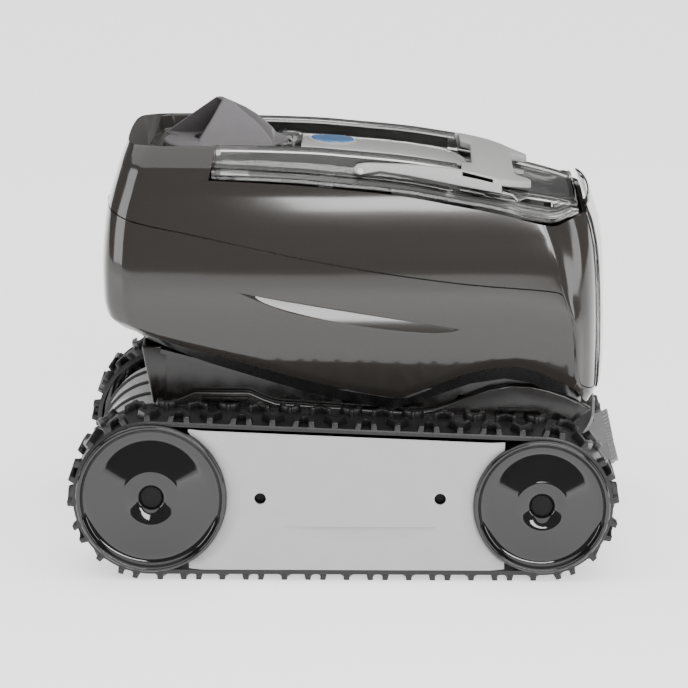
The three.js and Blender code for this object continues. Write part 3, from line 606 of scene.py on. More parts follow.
@dataclass(frozen=True)
class Finishes:
    """Every finish on the machine, ready to use."""

    # injection-moulded ABS under a hard gloss, warm dark grey
    shell: bpy.types.Material = ready(
        Finish, "abs_gloss_warm_grey", "#2a2725", "#302d2a", (0.09, 0.13), coat=0.15, mottle=1.2, grain=0.5,
        relief=0.004)
    # injection-moulded gloss black ABS: wheel caps
    wheel: bpy.types.Material = ready(
        Finish, "abs_gloss_black", "#111111", "#161616", (0.05, 0.08), coat=0.3, mottle=6, relief=0.003)
    # polypropylene, brown-black, with a soft gloss: tub and fenders
    chassis: bpy.types.Material = ready(
        Finish, "polypropylene_black", "#110f0e", "#171413", (0.16, 0.26), mottle=8, grain=0.8, relief=0.01)
    # satin ABS with a fine spark-eroded grain: side panels
    panel: bpy.types.Material = ready(
        Finish, "abs_satin_light_grey", "#a6a6a6", "#aeaeae", (0.38, 0.5), mottle=10, grain=0.5, relief=0.02)
    handle: bpy.types.Material = ready(
        Finish, "abs_satin_grey", "#a2a2a1", "#aaaaa9", (0.34, 0.44), mottle=8, grain=0.5, relief=0.02)
    nozzle: bpy.types.Material = ready(
        Finish, "abs_satin_mid_grey", "#5e5b5d", "#666365", (0.3, 0.4), mottle=8, grain=0.5, relief=0.02)
    # vulcanised rubber from a smooth mould: it takes a low sheen on its edges
    rubber: bpy.types.Material = ready(
        Finish, "rubber_moulded_black", "#141414", "#1e1e1e", (0.3, 0.45), mottle=3, grain=0.7, relief=0.04)
    drum: bpy.types.Material = ready(
        Finish, "pvc_smooth_grey", "#b4b4b4", "#bfbfbf", (0.2, 0.3), mottle=6, grain=0.7, relief=0.02)
    blade: bpy.types.Material = ready(
        Finish, "pvc_blade_grey", "#8d8d8d", "#9a9a9a", (0.3, 0.42), mottle=4, grain=0.8, relief=0.03)
    steel: bpy.types.Material = ready(
        Finish, "stainless_steel_turned", "#b4b4b2", "#c6c6c4", (0.2, 0.34), metallic=1.0, mottle=3, grain=0.3,
        relief=0.01, stretch=(1.0, 12.0, 1.0))
    acetal: bpy.types.Material = ready(
        Finish, "acetal_white", "#dcdcd6", "#e6e6e1", (0.35, 0.45), mottle=6, grain=0.6, relief=0.01)
    # pale translucent grey cover that shows through the lid
    spine: bpy.types.Material = ready(
        Finish, "polycarbonate_pale_grey", "#a2a2a1", "#acacab", (0.1, 0.18), coat=0.3, mottle=12, grain=0.7,
        relief=0.004)
    # near-black matt discs at the bottom of the hub holes: painted shade for the holes' dark depth
    bore: bpy.types.Material = ready(
        Finish, "rubber_plug_black", "#050505", "#080808", (0.85, 0.95), mottle=2, grain=0.3)
    screw: bpy.types.Material = ready(
        Finish, "steel_black_oxide", "#141414", "#1c1c1c", (0.4, 0.55), metallic=0.6, mottle=2, grain=0.4)
    # near-black finish: the band that hangs under the shell's edge, and the strip behind the parting, a dark sheet that
    # paints the shade in the gap between the shells
    dark_band_and_gap_shade: bpy.types.Material = ready(
        Finish, "elastomer_black", "#0d0d0d", "#131313", (0.25, 0.35), mottle=5, grain=0.8, relief=0.01)
    badge: bpy.types.Material = ready(
        Finish, "enamel_blue", "#2c6ea8", "#357ab5", (0.12, 0.2), coat=0.8, mottle=5, relief=0.004)
    clear: bpy.types.Material = ready(
        ClearFinish, "polycarbonate_smoky", "#e4e4e2", 0.04)
    mesh: bpy.types.Material = ready(
        MeshFinish, "nylon_filter_cloth", "#4a4a49", "#3c3c3b")


# ------------------------------------------------------------------ body shells
@dataclass
class BodyShells:
    """The two gloss shells over the chassis, with the deck round the nozzle and the clear front window."""

    rear_end: Table = ((108, -126), (140, -134), (150, -142), (160, -156), (168, -162.5), (180, -165.5), (200, -166),
                       (217, -165.2), (239, -162.6), (247, -160.6), (270, -153.5), (283, -148.5))
    front_end: Table = ((108, 165), (122, 167), (183, 166.4), (211, 165), (227, 162.6), (239, 159), (262, 151),
                        (283, 140))
    half_width: Table = ((108, 90), (130, 96), (150, 101), (175, 103), (200, 101.8), (225, 97.8), (240, 94.8),
                         (250, 92.4), (262, 88.4), (270, 85.8), (271.5, 85), (281.5, 76.5), (283, 74.5))
    front_bulge: float = 7.0
    wall: float = 3.0
    seam: float = 0.42
    # places round half of the plan, from the middle of the rear to the middle of the front; the corners are cut off
    # by flat facets
    plan: Table = ((-1, 0), (-1, 0.3), (-0.999, 0.52), (-0.996, 0.66), (-0.991, 0.75), (-0.984, 0.81), (-0.972, 0.855),
                   (-0.955, 0.887), (-0.93, 0.92), (-0.905, 0.948), (-0.89, 0.958), (-0.87, 0.965), (-0.82, 0.971),
                   (-0.7, 0.982), (-0.4, 0.996), (0, 1), (0.4, 0.996), (0.7, 0.981), (0.81, 0.969), (0.85, 0.962),
                   (0.87, 0.955), (0.885, 0.943), (0.91, 0.915), (0.94, 0.878), (0.963, 0.84), (0.978, 0.795),
                   (0.988, 0.74), (0.995, 0.65), (0.999, 0.5), (1, 0.28), (1, 0))
    # how far along the front corner's crease lies, as a share of the front's reach
    crease: Table = ((150, 0.93), (163, 0.925), (183, 0.892), (204, 0.862), (232, 0.82), (245, 0.81))
    body_edge: Table = ((-166, 163.5), (-150, 161), (-136, 157.5), (-110, 149.6), (-75, 140), (-31, 127.2), (0, 119.8),
                        (29, 114.2), (38, 113.2), (43, 114.4), (53, 119.2), (76, 129.6), (103, 136), (114, 136.6),
                        (124, 134.8), (136, 130), (156, 119.2), (160, 114), (165, 107))
    parting: Table = ((-166, 244), (-148, 236), (-98, 225.4), (-31, 211.4), (36, 200.2), (89, 193.6), (123, 190.8),
                      (141, 188.6), (145, 186.6), (147.5, 180), (152.5, 156), (157.6, 125.5), (159, 122.2), (166, 118))
    lid_edge: Table = ((-93, 263), (-38, 260.4), (-5, 257.7), (39, 253.2), (69, 247.8), (103, 241.4), (133, 233.8),
                       (139, 232.8), (151, 236.5), (158, 238.5))
    shoulder_x: float = -93.0
    shoulder_top: float = 283.0
    deck_z: float = 273.0
    duct_radius: float = 39.0
    wrap: float = 0.9  # how far round the plan the lower shell goes
    lip_inset: float = 6.5
    lip_span: Row = (5.0, 14.5)  # how far the lip starts above the shell's edge, and its height
    scoop_centre: Row = (7.0, 175.1)  # X and Z
    scoop_size: Row = (69.5, 9.0)  # half of the length and of the height
    scoop_depth: float = 2.8
    scoop_fall: float = -9.3  # degrees
    window_height: Row = (116.0, 246.0)
    window_half: float = 64.0

    def plan_place(self, share: float, z: float) -> tuple[float, float]:
        """A place on the unit plan at a share of the way from the rear's middle to the front's middle."""
        steps = len(self.plan) - 1
        u = read_table([(i / steps, row[0]) for i, row in enumerate(self.plan)], share)
        v = read_table([(i / steps, row[1]) for i, row in enumerate(self.plan)], share)
        if u > 0.6:
            crease, drawn = read_table(self.crease, z), 0.87
            if u < drawn:
                u = 0.6 + (u - 0.6) * (crease - 0.6) / (drawn - 0.6)
            else:
                u = crease + (u - drawn) * (1 - crease) / (1 - drawn)
        return u, v

    def point(self, share: float, z: float, inset: float = 0.0) -> Vector:
        """A point of the shells' outside.

        Args:
            share: Place round the plan, positive on the left and negative on the right.
            z: Height in millimetres.
            inset: Distance inside the surface.

        Returns:
            The point in millimetres.
        """
        u, v = self.plan_place(abs(share), z)
        side = math.copysign(1.0, share)
        end = read_table(self.front_end, z) if u > 0 else -read_table(self.rear_end, z)
        bulge = self.front_bulge * max(0.0, 1 - (v / 0.9) ** 2) * max(0.0, u) ** 4
        bulge -= 1.6 * max(0.0, 1 - (v / 0.8) ** 2) * max(0.0, -u) ** 4
        width = read_table(self.half_width, z)
        return Vector((u * (end - inset) + bulge, side * v * (width - inset), z))

    def edge_height(self, share: float, table: Table, offset: float) -> float:
        """The height where a column of the body meets an edge table."""
        z = 200.0
        for _ in range(24):
            z = 0.6 * z + 0.4 * (read_table(table, self.point(share, z).x) + offset)
        return z

    def columns(self, low: float, high: float, count: int) -> list[float]:
        """Shares of the plan from low to high, closer together over the corners."""
        even = spread(low, high, count)
        corners = [(0.17, 0.4), (0.6, 0.9)]
        extra = [
            (a + b) / 2 for a, b in zip(even, even[1:]) for start, end in corners if start < abs(a + b) / 2 < end
        ]
        return sorted(even + extra)

    def build_lower(self, finishes: Finishes) -> None:
        """Build the lower shell, which wraps the rear and both sides, and the dark lip under its edge."""
        def surface(column: float, row: float) -> Vector:
            """A point of the shell, from its edge up to the parting."""
            low = self.edge_height(column, self.body_edge, 0)
            high = max(low + 1.0, self.edge_height(column, self.parting, -self.seam))
            z = low + (high - low) * row
            # the wall leans in over its last 6 mm
            return self.point(column, z, 2.4 * max(0.0, 1 - (z - low) / 6))

        def lip(column: float, row: float) -> Vector:
            """A point of the lip, which hangs below the shell."""
            start, height = self.lip_span
            z = self.edge_height(column, self.body_edge, 0) + start - height * row
            place = self.point(column, max(z, self.rear_end[0][0]), self.lip_inset)
            return Vector((place.x, place.y, z))

        around = [-c for c in self.columns(-self.wrap, self.wrap, 161)]
        rows = [0, 0.004, 0.02, 0.04, 0.06, 0.08, 0.1, 0.12, *spread(0.16, 0.97, 18), 0.99, 1.0]
        shell = skin("lower_shell_skin", around, rows, surface, self.wall)
        for side in SIDES.values():
            carve(shell, self.scoop(side))
        finish(shell, finishes.shell, "hull", ["lower_shell"], 50)
        places = [-c for c in spread(-0.86, 0.86, 121)]
        band = skin("shell_lip", places, [1 - t for t in spread(0, 1, 5)], lip, 1.5)
        finish(band, finishes.dark_band_and_gap_shade, "hull", (), 50)

        def joint(column: float, row: float) -> Vector:
            """A point of the dark strip that closes the parting from behind: painted shade in the gap between the
            shells.
            """
            z = self.edge_height(column, self.parting, 8 * row - 4)
            return self.point(column, z, self.wall + 0.25)

        # a near-black strip behind the parting paints the shade in the gap between the shells
        strip = skin("seam_shade_strip", around, [0, 0.5, 1], joint, 1.0)
        finish(strip, finishes.dark_band_and_gap_shade, "hull", (), 50)

    def scoop(self, side: float) -> bpy.types.Object:
        """The tool that leaves a shallow scoop in a side."""
        fall = math.radians(self.scoop_fall)
        (centre_x, centre_z), (half_length, half_height) = self.scoop_centre, self.scoop_size

        def lay(p: Vector, depth: float) -> Vector:
            """Lay the lens on the curved side."""
            x = centre_x + half_length * p.x * math.cos(fall) - half_height * p.z * math.sin(fall)
            z = centre_z + half_length * p.x * math.sin(fall) + half_height * p.z * math.cos(fall)
            skin_y = read_table(self.half_width, z) * (1 - 0.004 * (x / 66) ** 2)
            return Vector((x, side * (skin_y + 0.15 + self.scoop_depth * depth), z)) * MM

        return half_lens(128, lay)

    def build_upper(self, finishes: Finishes) -> None:
        """Build the upper shell: its skirt, the rear shoulder and the deck with its opening."""
        def skirt(column: float, row: float) -> Vector:
            """A point of the skirt, from the parting up to the lid's edge."""
            low = self.edge_height(column, self.parting, self.seam)
            high = self.edge_height(column, self.lid_edge, -0.8)
            # the middle of the front is left open behind the window
            middle = min(1.0, max(0.0, (abs(column) - 0.895) / 0.03))
            high -= 50 * middle * middle * (3 - 2 * middle)
            return self.point(column, low + (high - low) * row)

        def shoulder(column: float, row: float) -> Vector:
            """A point of the rear shoulder, from the lid's edge up to its top."""
            low = self.edge_height(column, self.lid_edge, -0.8)
            return self.point(column, min(low + (self.shoulder_top - low) * row, self.shoulder_top))

        rows = [0, 0.01, *spread(0.04, 0.97, 22), 0.99, 1.0]
        around = [-c for c in self.columns(-1.0, 1.0, 201)]
        body = skin("skirt", around, rows, skirt, self.wall)
        meet = next(s for s in spread(0.2, 0.6, 801) if self.point(s, 265).x > self.shoulder_x)
        back = [-c for c in self.columns(-meet, meet, 101)]
        band = skin("shoulder_band", back, [*spread(0, 0.9, 19), 0.94, 0.97, 0.985, 1.0], shoulder, self.wall)
        shell = weld("upper_shell_skin", [body, band, self.deck(meet)])
        finish(shell, finishes.shell, "hull", ["upper_shell"], 50)

    def deck(self, meet: float) -> bpy.types.Object:
        """The deck behind the lid, sunk inside the shoulder's rim, with the duct's opening."""
        top = self.shoulder_top - 0.02
        edge = [self.point(s, self.shoulder_top, 0.3) for s in spread(-meet, meet, 101)]
        outline = [(p.x, p.y) for p in reversed(edge)]
        deck = plate("rear_deck", outline, self.deck_z - 3, top, along="Z")
        pocket = plate("pocket_tool", [(-131, -60), (-124, -67), (0, -67), (0, 67), (-124, 67), (-131, 60)],
                       self.deck_z, 300, along="Z")

        def open_out(p: Vector) -> Vector:
            """Widen the pocket towards its top, but not at its open front end."""
            grow = 1 + max(0.0, p.z / MM - self.deck_z) * 0.0042
            x = (PUMP_X + (p.x / MM - PUMP_X) * grow) * MM if p.x < -0.01 else p.x
            return Vector((x, p.y * grow, p.z))

        with editing(pocket):
            mould(pocket, open_out)
        carve(deck, pocket)
        round_edges(deck, 1.3, 3, 40)
        drill(deck, self.duct_radius, (250, 300), Vector((PUMP_X, 0, 0)))
        return deck

    def build_window(self, finishes: Finishes) -> None:
        """Build the clear window that bulges over the middle of the front."""
        steps = len(self.plan) - 1
        across = [(row[1], i / steps) for i, row in reversed(list(enumerate(self.plan))) if row[0] > 0.3]
        low, high = self.window_height

        def surface(column: float, row: float) -> Vector:
            """A point of the window, a little proud of the shell and crowned in the middle."""
            z = low + (high - low) * row
            reach = max(0.0, 1 - (column / 66) ** 2)
            share = read_table(across, min(1.0, abs(column) / read_table(self.half_width, z)))
            place = self.point(math.copysign(share, column), z)
            end = min(1.0, row / 0.15, (1 - row) / 0.2)
            return Vector((place.x + 1.7 + 1.2 * math.sqrt(reach) * end, column, z))

        around = spread(-self.window_half, self.window_half, 41)
        window = skin("front_window", around, spread(0, 1, 31), surface, 1.4)
        round_edges(window, 0.4, 2, 60)
        finish(window, finishes.clear, "hull", (), 40)

    def build(self, finishes: Finishes) -> None:
        """Build both shells and the window."""
        self.build_lower(finishes)
        self.build_upper(finishes)
        self.build_window(finishes)


@dataclass
class TubFlare:
    """The flared rear end of the chassis tub."""

    half_width: float = 78.3

    def build(self, finishes: Finishes) -> None:
        """Build the flare."""
        flare = plate("tub_flare", [(-139.5, 147), (-132, 107), (-122, 105.5), (-122, 147)], -self.half_width,
                      self.half_width)
        round_edges(flare, 1.5, 3, 30)
        finish(flare, finishes.chassis, "hull", (), 30)


# ------------------------------------------------------------------ running gear
@dataclass
class Axle:
    """One wheel station: its place and the radius of the belt's inner face round it."""

    x: float
    z: float
    belt: float


REAR = Axle(-130.0, 56.5, 49.3)
FRONT = Axle(131.0, 51.6, 44.4)
BRUSH_AXLE = Vector((131.0, 0.0, 56.6))


@dataclass
class WheelCaps:
    """The dished gloss caps over the wheels."""

    lap: float = 1.2
    face: float = 145.0
    hub_hole: float = 7.8

    def profile(self, axle: Axle) -> list[Row]:
        """Half section of a cap, from its closed hub cup out to the rolled rim and back over the dish."""
        edge = axle.belt + self.lap
        hole = self.hub_hole
        face = self.face
        ridge, foot = edge * 0.37, edge * 0.76
        slope = [(ridge + (foot - ridge) * t, face - 0.3 - 4.3 * t**1.05) for t in spread(0.97, 0.04, 12)]
        dish = [
            (edge - 5.8, face - 4.3), (edge - 7.4, face - 4.7), (edge * 0.84, face - 4.85), (foot + 1.5, face - 4.8),
            *slope, (ridge, face - 0.15), (ridge - 1.5, face - 0.35), (ridge - 3.5, face - 0.9),
            (hole + 3.2, face - 2.2), (hole + 1.4, face - 3.1), (hole + 0.4, face - 3.9),
        ]
        return [
            (0, 137.4), (edge - 0.6, 137.4), (edge, 138.0), (edge, face - 1.6),
            (edge - 0.5, face - 0.7), (edge - 1.2, face - 0.15), (edge - 1.9, face), (edge - 2.5, face - 0.2),
            (edge - 3.1, face - 0.8), (edge - 3.8, face - 2), (edge - 4.7, face - 3.4), *dish,
            (hole, face - 4.6), (hole - 0.3, face - 6), (hole - 0.5, 138.0), (0, 138.0),
        ]

    def build(self, finishes: Finishes) -> None:
        """Spin one cap for each station and mirror it to the other side."""
        floor, hole = 138.3, self.hub_hole
        for end, axle in (("rear", REAR), ("front", FRONT)):
            centre = Vector((axle.x, 0, axle.z))
            # The right cap is made before the dark discs that paint the shade in the hub holes, which sets the order of
            # the pieces.
            left = turned(f"left_{end}_cap_disc", self.profile(axle), centre, steps=128)
            right = mirror(left, f"right_{end}_cap_disc")
            # a near-black matt disc at the bottom of each hub hole: painted shade for the hole's dark depth
            shade_disc = turned(f"left_{end}_hub_shade_disc", [(0, floor), (hole - 0.5, floor), (hole - 0.9, 138.8), (0, 138.8)],
                          centre, steps=48)
            finish_both(shade_disc, finishes.bore, "{side}_" + end + "_wheel", "", 40)
            for side, cap in (("left", left), ("right", right)):
                finish(cap, finishes.wheel, f"{side}_{end}_wheel", [f"{side}_{end}_wheel_cap"], 40)


@dataclass
class Tracks:
    """The rubber belts, with their two kinds of moulded lug."""

    thickness: float = 2.7
    inner_y: float = 86.5
    outer_y: float = 141.0
    lug_height: float = 4.5
    repeats: int = 20
    start: float = 0.1  # share of a repeat before the first lug

    def loop(self) -> list[tuple[float, Callable[[float], tuple[Vector, float]]]]:
        """The belt's outer face as stretches of length and a place along each, with its outward angle."""
        rear, front = REAR.belt + self.thickness, FRONT.belt + self.thickness
        low = 1.5 * math.pi
        top = math.pi / 2 - 2 * math.asin((rear - front) / (FRONT.x - REAR.x))

        def at(axle: Axle, radius: float, angle: float) -> Vector:
            """A point of a wheel's circle."""
            return Vector((axle.x + radius * math.cos(angle), 0, axle.z + radius * math.sin(angle)))

        def arc(axle: Axle, radius: float, start: float, end: float) -> tuple:
            """A stretch round a wheel."""
            turn = end - start
            return radius * turn, lambda t: (at(axle, radius, start + turn * t), start + turn * t)

        def line(start: Vector, end: Vector, angle: float) -> tuple:
            """A straight stretch between the wheels."""
            return (end - start).length, lambda t: (start.lerp(end, t), angle)

        return [
            arc(REAR, rear, top, low),
            line(at(REAR, rear, low), at(FRONT, front, low), low),
            arc(FRONT, front, low, top + 2 * math.pi),
            line(at(FRONT, front, top), at(REAR, rear, top), top),
        ]

    def place(self, distance: float) -> tuple[Vector, float]:
        """The place and outward angle at a distance round the loop."""
        stretches = self.loop()
        left = distance % sum(length for length, _ in stretches)
        for length, point in stretches:
            if left <= length:
                return point(left / length)
            left -= length
        return stretches[0][1](0.0)

    def belt(self) -> bpy.types.Object:
        """The smooth belt with a raised bead along both edges."""
        total = sum(length for length, _ in self.loop())
        outer, inner, deep = self.outer_y, self.inner_y, -self.thickness + 0.1
        section = [(outer, -0.2), (outer - 0.4, 0.5), (outer - 2.2, 0.5), (outer - 2.8, 0), (inner + 2.8, 0),
                   (inner + 2.2, 0.5), (inner + 0.4, 0.5), (inner, -0.2), (inner, deep), (outer, deep), (outer, -0.2)]

        def surface(column: float, row: float) -> Vector:
            """A point of the belt's section, carried round the loop."""
            point, angle = self.place(min(column, total * 0.9999999))
            y, lift = section[int(row)]
            return Vector((point.x + lift * math.cos(angle), y, point.z + lift * math.sin(angle)))

        columns = [total * i / 320 for i in range(320)] + [0.0]
        belt = skin("belt", columns, list(range(len(section))), surface)
        with editing(belt):
            heal()
        return belt

    def lug(self, outline: Sequence[Row]) -> bpy.types.Object:
        """One lug, lying at the origin with its foot sunk a little, narrower at its top."""
        lug = plate("lug", outline, -0.6, self.lug_height, along="Z")
        with editing(lug):
            mould(lug, lambda p: Vector((p.x * (0.9 if p.z > 0 else 1.06), p.y, p.z)))
        round_edges(lug, 0.5, 2, 50)
        return lug

    def build(self, finishes: Finishes) -> None:
        """Build a track for each side."""
        prong = [(2.1, 0), (2.1, 4.5), (3.4, 6.2), (7.4, 10), (7.4, 13.4), (4.4, 13.4), (4.2, 11.4)]
        fork = [(-2.1, 0), *prong, (0, 7.8), *[(-x, y) for x, y in reversed(prong[1:])]]
        hollow = [(2.4, 7), (3.4, 4.6), (3.4, 0), (7.4, 0)]
        shoulder = [(7.4, 6), (5.2, 10), (1.5, 11.8), (1.5, 15)]
        arch = [*[(-x, y) for x, y in reversed(hollow)], (0, 8), *hollow, *shoulder,
                *[(-x, y) for x, y in reversed(shoulder)]]
        total = sum(length for length, _ in self.loop())
        pitch = total / self.repeats
        reach = [(0, 0), (4, 6), (8, 15), (15, 28)]  # the outer row's lugs are drawn out over the belt
        outer_row = [self.lug([(x, read_table(reach, y)) for x, y in outline]) for outline in (fork, arch)]
        inner_row = [self.lug(outline) for outline in (fork, arch)]
        pieces = [self.belt()]
        for repeat in range(self.repeats):
            for edge, row in ((self.outer_y - 0.4, outer_row), (self.inner_y + 0.4, inner_row)):
                shift = 0.0 if row is outer_row else 0.25
                for share, lug in zip((shift, shift + 0.5), row):
                    point, angle = self.place((repeat + self.start + share) * pitch)
                    outward = Vector((math.cos(angle), 0, math.sin(angle)))
                    inward = Vector((0, -1 if row is outer_row else 1, 0))
                    travel = inward.cross(outward)
                    turn = Matrix((travel, inward, outward)).transposed().to_4x4()
                    spot = Matrix.Translation(Vector((point.x, edge, point.z)) * MM)
                    copy = duplicate(lug, "lug_copy")
                    copy.data.transform(spot @ turn)
                    pieces.append(copy)
        for lug in outer_row + inner_row:
            bpy.data.objects.remove(lug, do_unlink=True)
        finish_both(weld("left_track_belt", pieces), finishes.rubber, "hull", "{side}_track", 35)


@dataclass
class SidePlates:
    """The light panels inside the tracks and the dark frames with the fenders."""

    face: float = 143.9
    depth: float = 2.2
    clearance: float = 1.4
    border: float = 10.0
    drop: float = 3.2
    top: Table = ((-110, 103.8), (105, 95.2))
    hole_radius: float = 3.9
    screw_x: tuple[float, float] = (-57.0, 63.0)
    screw_z: float = 57.0
    frame_y: tuple[float, float] = (78.4, 86.0)
    foot: float = 7.8
    ends: Row = (-105.0, 106.0)  # the panel's corners reach no further than this
    scoop_centre: Row = (9.6, 37.6)  # X and Z
    scoop_size: Row = (50.5, 9.8)  # half of the length and of the height
    scoop_depth: float = 1.9

    def panel(self) -> bpy.types.Object:
        """The left panel: scalloped along both wheels, with two screw holes and a scoop like a smile."""
        radii = {axle.belt: axle.belt + self.clearance for axle in (REAR, FRONT)}

        def edge(axle: Axle, z: float, facing: float) -> float:
            """Where the panel's end lies at a height."""
            radius = radii[axle.belt]
            reach = axle.x + facing * math.sqrt(max(0.0, radius**2 - (z - axle.z) ** 2))
            return max(reach, self.ends[0]) if facing > 0 else min(reach, self.ends[1])

        def surface(column: float, row: float) -> Vector:
            """A point of the panel, which sinks along its borders."""
            z = self.foot + 90 * row
            for _ in range(20):
                left, right = edge(REAR, z, 1), edge(FRONT, z, -1)
                x = left + (right - left) * column
                z = self.foot + (read_table(self.top, x) - self.foot) * row
            near = min((x - left), (right - x))
            slope = max(0.0, 1 - near / self.border)
            lip = max(0.0, 1 - (z - self.foot) / 1.2) ** 2
            lip += max(0.0, 1 - (read_table(self.top, x) - z) / 1.2) ** 2
            sink = self.drop * slope**1.15 + 0.8 * min(1.0, lip)
            return Vector((x, self.face - sink, z))

        ends = [0, 0.003, 0.008, 0.015, 0.024, 0.034, 0.044, 0.054, 0.062, 0.07]
        columns = ends + spread(0.09, 0.91, 40) + [1 - e for e in reversed(ends)]
        rows = [0, 0.005, 0.01, 0.015, *spread(0.04, 0.96, 44), 0.985, 0.99, 0.995, 1]
        panel = skin("left_panel", [c for c in reversed(columns)], rows, surface, self.depth)
        (centre_x, centre_z), (half_length, half_height) = self.scoop_centre, self.scoop_size

        def lay(p: Vector, depth: float) -> Vector:
            """Lay the lens on the panel's flat face."""
            y = self.face + 0.1 + self.scoop_depth * depth
            return Vector((centre_x + half_length * p.x, y, centre_z + half_height * p.z)) * MM

        carve(panel, half_lens(96, lay))
        for x in self.screw_x:
            drill(panel, self.hole_radius, (130, 150), Vector((x, 0, self.screw_z)), "Y", 40)
        return panel

    def frame(self) -> bpy.types.Object:
        """The left side frame, whose upper edge is the fender, with its two ledges."""
        outline = [
            (-152, 62), (-150, 46), (-138, 36), (-110, 30), (-84, 16), (74, 16), (104, 26), (140, 32), (151, 44),
            (151, 60), (146, 74), (148, 90), (157, 99), (166, 105.5), (158, 110), (148, 115), (137, 118.7),
            (124, 121.3), (110, 121.9), (97, 119.6), (84, 114.8), (70, 109), (58, 105.2), (50, 103.9), (43, 103.5),
            (16, 105), (-11, 107), (-48, 109.5), (-57, 112.8), (-66, 117), (-103, 117), (-110, 113.8),
            (-118, 110.6), (-125, 109), (-133, 98), (-140, 84),
        ]
        low, high = self.frame_y
        frame = plate("left_frame", outline, low, high)
        round_edges(frame, 1.6, 3, 15)
        pieces = [frame]
        for start, end, z in ((-98, -66, 111.6), (102, 130, 104.4)):
            outline = [(start, z + 3.2), (start + 3, z), (end - 3, z), (end, z + 3.2)]
            slab = plate("ledge", outline, high - 2, high + 6)
            round_edges(slab, 0.8, 2, 30)
            pieces.append(slab)
        return weld("left_side_frame_plate", pieces)

    def build(self, finishes: Finishes) -> None:
        """Build both sides."""
        panel, frame_piece = self.panel(), self.frame()
        finish_both(panel, finishes.panel, "hull", "{side}_side_panel", 25)
        finish_both(frame_piece, finishes.chassis, "hull", "{side}_side_frame", 30)


# ------------------------------------------------------------------ rollers
@dataclass
class Rollers:
    """The ribbed drum at the rear and the bladed brush at the front."""

    half_width: float = 76.0
    drum_radius: float = 45.0
    rib_pitch: float = 38.0
    blades: int = 10
    core: float = 30.0
    tip: float = 55.3

    def drum(self, finishes: Finishes) -> None:
        """Turn the drum and wrap its thin ribs round it."""
        w, r = self.half_width, self.drum_radius
        drum = turned("drum_tube", [(7, -w), (r - 1, -w), (r, -w + 1), (r, w - 1), (r - 1, w), (7, w)],
                      Vector((REAR.x, 0, REAR.z)), steps=96)
        finish(drum, finishes.drum, "rear_roller", ["rear_roller"], 40)
        section = [(-1.7, -1.0), (-1.5, 0.4), (-1.1, 1.4), (-0.6, 1.9), (-0.2, 1.2), (0.2, 1.2), (0.6, 1.9), (1.1, 1.4),
                   (1.5, 0.4), (1.7, -1.0), (-1.7, -1.0)]
        turns = (2 * w - 6) / self.rib_pitch

        def surface(column: float, row: float) -> Vector:
            """A point of the rib's section, carried round the drum."""
            across, lift = section[int(row)]
            angle = 2 * math.pi * turns * column
            reach = r + lift
            place = -w + 3 + (2 * w - 6) * column
            return Vector((REAR.x + reach * math.cos(angle), place + across, REAR.z + reach * math.sin(angle)))

        rib = skin("rear_drum_rib", spread(0, 1, 360), [10 - k for k in range(len(section))], surface)
        with editing(rib):
            pick(rib, Pick.EDGES, lambda e: e.is_boundary)
            bpy.ops.mesh.edge_face_add()
            heal()
        finish(rib, finishes.rubber, "rear_roller", (), 40)

    def brush(self, finishes: Finishes) -> None:
        """Model one blade with its notched tip and copy it round the sleeve."""
        w = self.half_width
        inside, outside = self.core + 0.4, self.core + 3
        sleeve = turned("sleeve", [(inside, -w), (outside, -w), (outside, w), (inside, w)], BRUSH_AXLE)
        # each 8 mm of a blade has a tooth 6.2 mm wide and a notch
        columns = [-w + 8 * i + step for i in range(19) for step in (0, 0.6, 6.2, 6.8)] + [w]
        reach = spread(self.core + 1.5, self.tip, 7)

        def surface(column: float, row: float) -> Vector:
            """A point of a blade, which leans a little and bends towards its tip."""
            step = (column + w) % 8
            notched = 0.3 < step < 6.5
            radius = row if row < self.tip - 0.1 else (self.tip if notched else self.tip - 4.5)
            share = (radius - self.core) / (self.tip - self.core)
            angle = abs(column) * 0.0014 + 0.1 * share * share
            return Vector((BRUSH_AXLE.x + radius * math.cos(angle), column, BRUSH_AXLE.z + radius * math.sin(angle)))

        blade = skin("blade", columns, reach, surface, 1.8)
        with editing(blade):
            heal()
        pieces = [sleeve]
        for i in range(self.blades):
            turn = Matrix.Rotation(2 * math.pi * i / self.blades, 4, "Y")
            centre = Matrix.Translation(BRUSH_AXLE * MM)
            copy = duplicate(blade, "blade_copy")
            copy.data.transform(centre @ turn @ centre.inverted())
            pieces.append(copy)
        bpy.data.objects.remove(blade, do_unlink=True)
        brush = weld("front_brush_blades", pieces)
        finish(brush, finishes.blade, "front_brush", ["front_brush_lamellae"], 30)

    def build(self, finishes: Finishes) -> None:
        """Build both rollers."""
        self.drum(finishes)
        self.brush(finishes)


